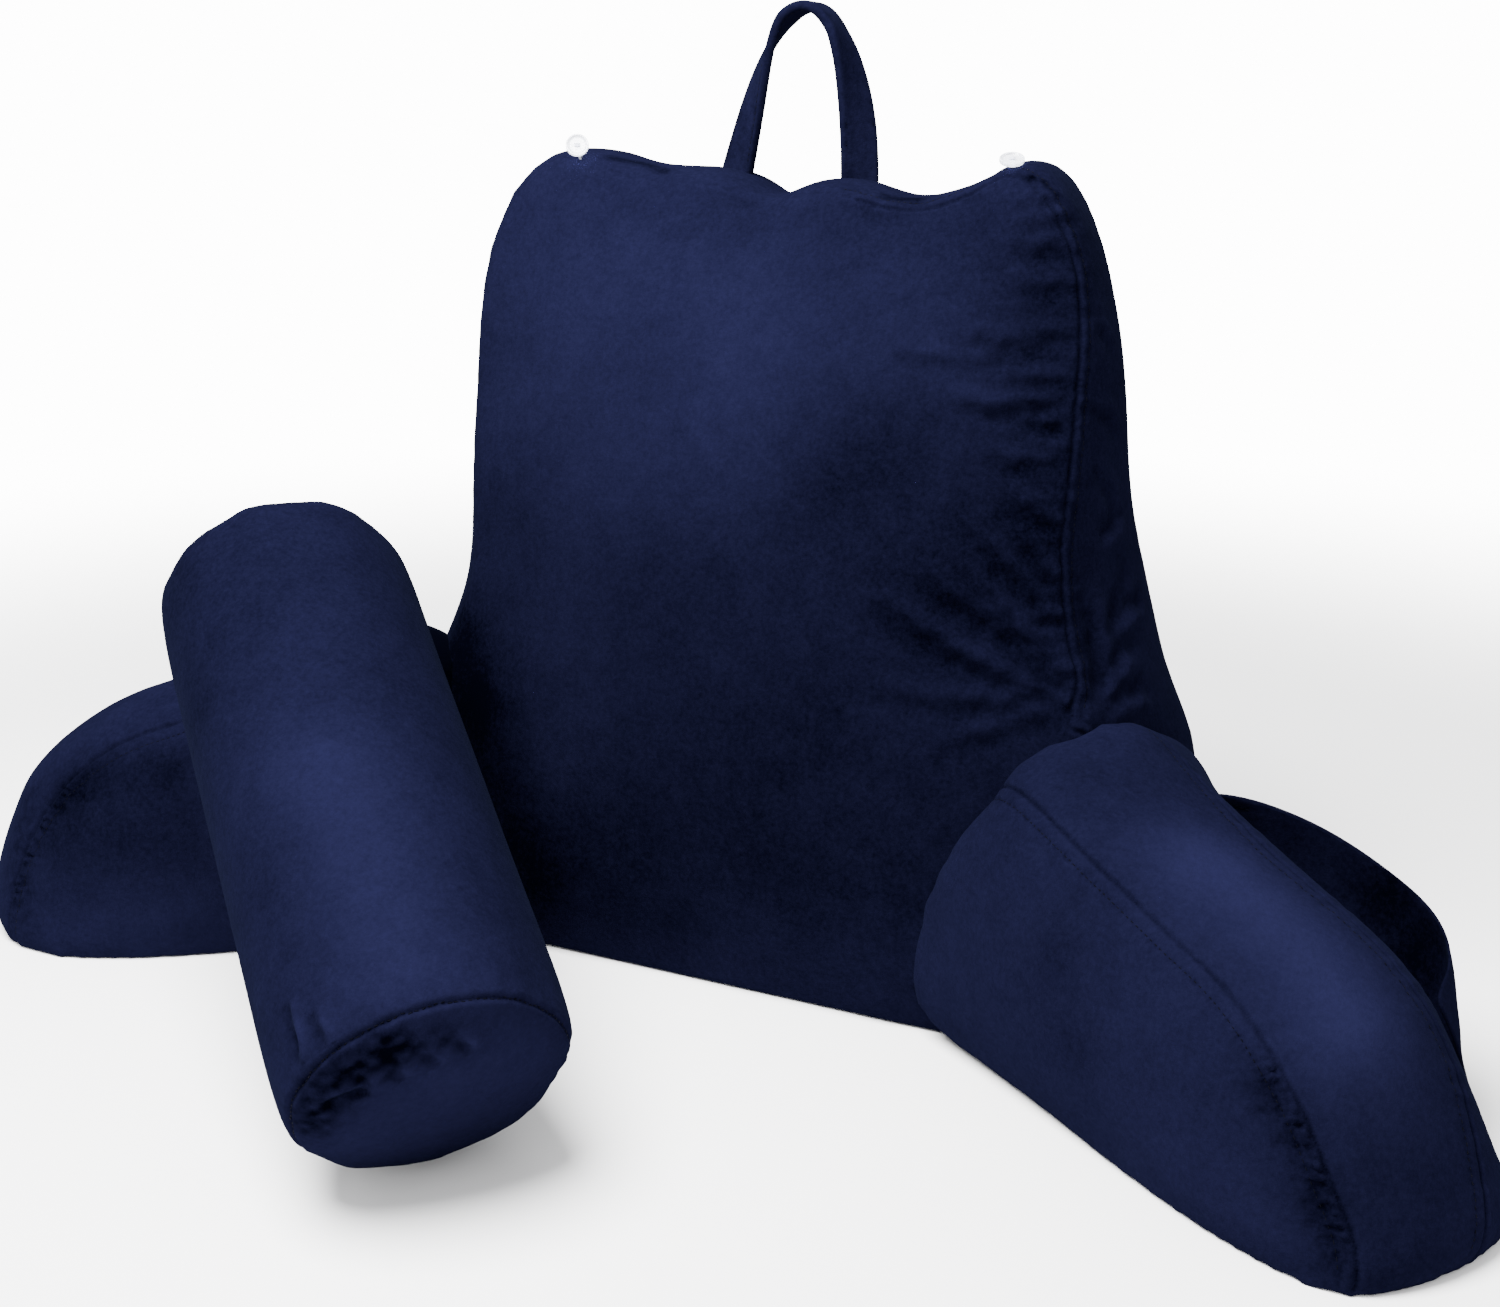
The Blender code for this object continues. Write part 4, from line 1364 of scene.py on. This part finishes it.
class PILLOW_OT_buttons(bpy.types.Operator):
    """Make the two clear buttons"""

    bl_idname = "pillow.buttons"
    bl_label = "Buttons"

    def execute(self, context):
        radius = sizes().button_radius
        skin = skin_of(bpy.data.objects["backrest_cushion"])
        for name, row in BUTTONS.items():
            bpy.ops.object.select_all(action="DESELECT")
            bpy.ops.mesh.primitive_cylinder_add(vertices=48, radius=radius, depth=BUTTON_THICKNESS)
            made = context.active_object
            made.name = name + "_disc"
            bpy.ops.object.mode_set(mode="EDIT")
            bpy.ops.mesh.select_all(action="DESELECT")
            bpy.ops.object.mode_set(mode="OBJECT")
            for face in made.data.polygons:
                face.select = face.normal.z > 0.9
            bpy.ops.object.mode_set(mode="EDIT")
            bpy.ops.mesh.select_mode(type="FACE")
            bpy.ops.mesh.inset(thickness=0.16 * radius)
            bpy.ops.mesh.inset(thickness=0.10 * radius, depth=-BUTTON_DISH)
            bpy.ops.mesh.inset(thickness=0.12 * radius)
            bpy.ops.object.mode_set(mode="OBJECT")
            shape_with(made, "soft", "BEVEL", width=BUTTON_BEVEL, segments=3, limit_method="ANGLE")
            made.location = row["place"]
            made.rotation_euler = Vector(row["facing"]).to_track_quat("Z", "Y").to_euler()
            select_only(made)
            bpy.ops.object.transform_apply(location=True, rotation=True, scale=True)
            finish_piece(made, "clear_plastic", [name])
            made.visible_shadow = False
            facing = Vector(row["facing"]).normalized()
            level = facing.cross(Vector((0.0, 0.0, 1.0))).normalized()
            middle = Vector(row["place"]) + BUTTON_DISH * facing
            sew_on(name + "_thread", middle, level, facing, skin)
        return {"FINISHED"}


def sew_on(name, middle, along, facing, skin):
    """Make the two bars of thread across a button's middle, and its shank down to the cover."""
    bars = []
    for shift in (-BAR_OFFSET, BAR_OFFSET):
        bpy.ops.object.select_all(action="DESELECT")
        bpy.ops.mesh.primitive_uv_sphere_add(segments=12, ring_count=8, radius=BAR_RADIUS)
        bar = bpy.context.active_object
        bar.scale = (1.0, 1.0, BAR_STRETCH)
        bar.rotation_euler = along.to_track_quat("Z", "Y").to_euler()
        bar.location = middle + along.cross(facing) * shift
        select_only(bar)
        bpy.ops.object.transform_apply(location=True, rotation=True, scale=True)
        bars.append(bar)
    foot = skin.find_nearest(middle)[0]
    drop = foot - middle
    bpy.ops.object.select_all(action="DESELECT")
    bpy.ops.mesh.primitive_cylinder_add(vertices=12, radius=SHANK_RADIUS, depth=drop.length + SHANK_SINK)
    shank = bpy.context.active_object
    shank.rotation_euler = drop.to_track_quat("Z", "Y").to_euler()
    shank.location = 0.5 * (foot + middle) + 0.5 * SHANK_SINK * drop.normalized()
    select_only(shank)
    bpy.ops.object.transform_apply(location=True, rotation=True, scale=True)
    for bar in bars:
        bar.select_set(True)
    bpy.context.view_layer.objects.active = bars[-1]
    bpy.ops.object.join()
    bars[-1].name = name
    finish_piece(bars[-1], "button_thread")


class PILLOW_OT_stage(bpy.types.Operator):
    """Set the floor, the light and the camera"""

    bl_idname = "pillow.stage"
    bl_label = "Stage"

    def execute(self, context):
        bpy.ops.object.select_all(action="DESELECT")
        bpy.ops.mesh.primitive_plane_add(size=8.0, location=(0.0, 0.0, -0.0004))
        floor = context.active_object
        floor.name = "floor"
        finish, tree, shader = shader_material("floor_paint")
        place = node(tree, "ShaderNodeTexCoord", (-700, 0))
        grain = node(tree, "ShaderNodeTexNoise", (-500, 0), {"Scale": 6.0})
        tone = node(tree, "ShaderNodeMix", (-250, 0), data_type="RGBA")
        set_inputs(tone, {"A": opaque(colours().floor, 0.985), "B": opaque(colours().floor)})
        far = node(tree, "ShaderNodeVectorMath", (-500, -250), operation="LENGTH")
        fade = node(tree, "ShaderNodeMapRange", (-250, -250), interpolation_type="SMOOTHSTEP")
        set_inputs(fade, {"From Min": 0.9, "From Max": 2.6, "To Min": 1.0, "To Max": 0.0})
        link_up(
            tree,
            (place, "Object", grain, "Vector"),
            (grain, "Fac", tone, "Factor"),
            (tone, "Result", shader, "Base Color"),
            (place, "Object", far, 0),
            (far, "Value", fade, "Value"),
            (fade, "Result", shader, "Alpha"),
        )
        shader.inputs["Roughness"].default_value = 0.9
        shader.inputs["Specular IOR Level"].default_value = 0.1
        floor.data.materials.append(finish)

        world = bpy.data.worlds.new("studio")
        context.scene.world = world
        world.use_nodes = True
        tree = world.node_tree
        fill = tree.nodes["Background"]
        set_inputs(fill, {"Color": WHITE, "Strength": 1.8})
        white = node(tree, "ShaderNodeBackground", (0, -200), {"Color": WHITE, "Strength": 14.0})
        path = node(tree, "ShaderNodeLightPath", (-200, 200))
        either = node(tree, "ShaderNodeMixShader", (200, 0))
        link_up(
            tree,
            (path, "Is Camera Ray", either, "Fac"),
            (fill, "Background", either, 1),
            (white, "Background", either, 2),
            (either, "Shader", tree.nodes["World Output"], "Surface"),
        )

        key = bpy.data.lights.new("key", "AREA")
        key.shape = "DISK"
        key.size = 1.1
        key.energy = 190.0
        lamp = bpy.data.objects.new("key", key)
        context.scene.collection.objects.link(lamp)
        towards = light_direction(KEY_AZIMUTH, KEY_ELEVATION)
        lamp.location = KEY_TARGET + KEY_DISTANCE * towards
        lamp.rotation_euler = towards.to_track_quat("Z", "Y").to_euler()

        eye, _right, _up, ahead = camera_axes()
        lens = bpy.data.cameras.new("camera")
        lens.sensor_width = SENSOR_WIDTH
        lens.lens = SENSOR_WIDTH * PHOTO_FOCUS / PHOTO_WIDTH
        camera = bpy.data.objects.new("camera", lens)
        context.scene.collection.objects.link(camera)
        camera.location = eye
        camera.rotation_euler = (-ahead).to_track_quat("Z", "Y").to_euler()
        context.scene.camera = camera
        return {"FINISHED"}


def light_direction(azimuth, elevation):
    """Return the way towards a light, its azimuth from the front towards the right."""
    level = cos(elevation)
    return Vector((sin(azimuth) * level, -cos(azimuth) * level, sin(elevation)))


OPERATORS = (
    PILLOW_OT_stage,
    PILLOW_OT_backrest,
    PILLOW_OT_arms,
    PILLOW_OT_neck_roll,
    PILLOW_OT_pocket,
    PILLOW_OT_handle,
    PILLOW_OT_buttons,
)


class PILLOW_PT_panel(bpy.types.Panel):
    """Lists the steps and the sizes in the sidebar"""

    bl_idname = "PILLOW_PT_panel"
    bl_label = "Backrest pillow"
    bl_space_type = "VIEW_3D"
    bl_region_type = "UI"
    bl_category = "Pillow"

    def draw(self, context):
        for operator in OPERATORS:
            self.layout.operator(operator.bl_idname)
        for group in (context.scene.pillow_sizes, context.scene.pillow_colours):
            for name in group.__annotations__:
                self.layout.prop(group, name)


CLASSES = (PillowSizes, PillowColours, *OPERATORS, PILLOW_PT_panel)


def register():
    """Add the classes and the settings to Blender."""
    for made in CLASSES:
        bpy.utils.register_class(made)
    bpy.types.Scene.pillow_sizes = PointerProperty(type=PillowSizes)
    bpy.types.Scene.pillow_colours = PointerProperty(type=PillowColours)


def unregister():
    """Take them out again."""
    del bpy.types.Scene.pillow_colours
    del bpy.types.Scene.pillow_sizes
    for made in reversed(CLASSES):
        bpy.utils.unregister_class(made)


def main():
    """Make every piece."""
    register()
    bpy.ops.pillow.stage()
    bpy.ops.pillow.backrest()
    bpy.ops.pillow.arms()
    bpy.ops.pillow.neck_roll()
    bpy.ops.pillow.pocket()
    bpy.ops.pillow.handle()
    bpy.ops.pillow.buttons()


if __name__ == "__main__":
    main()
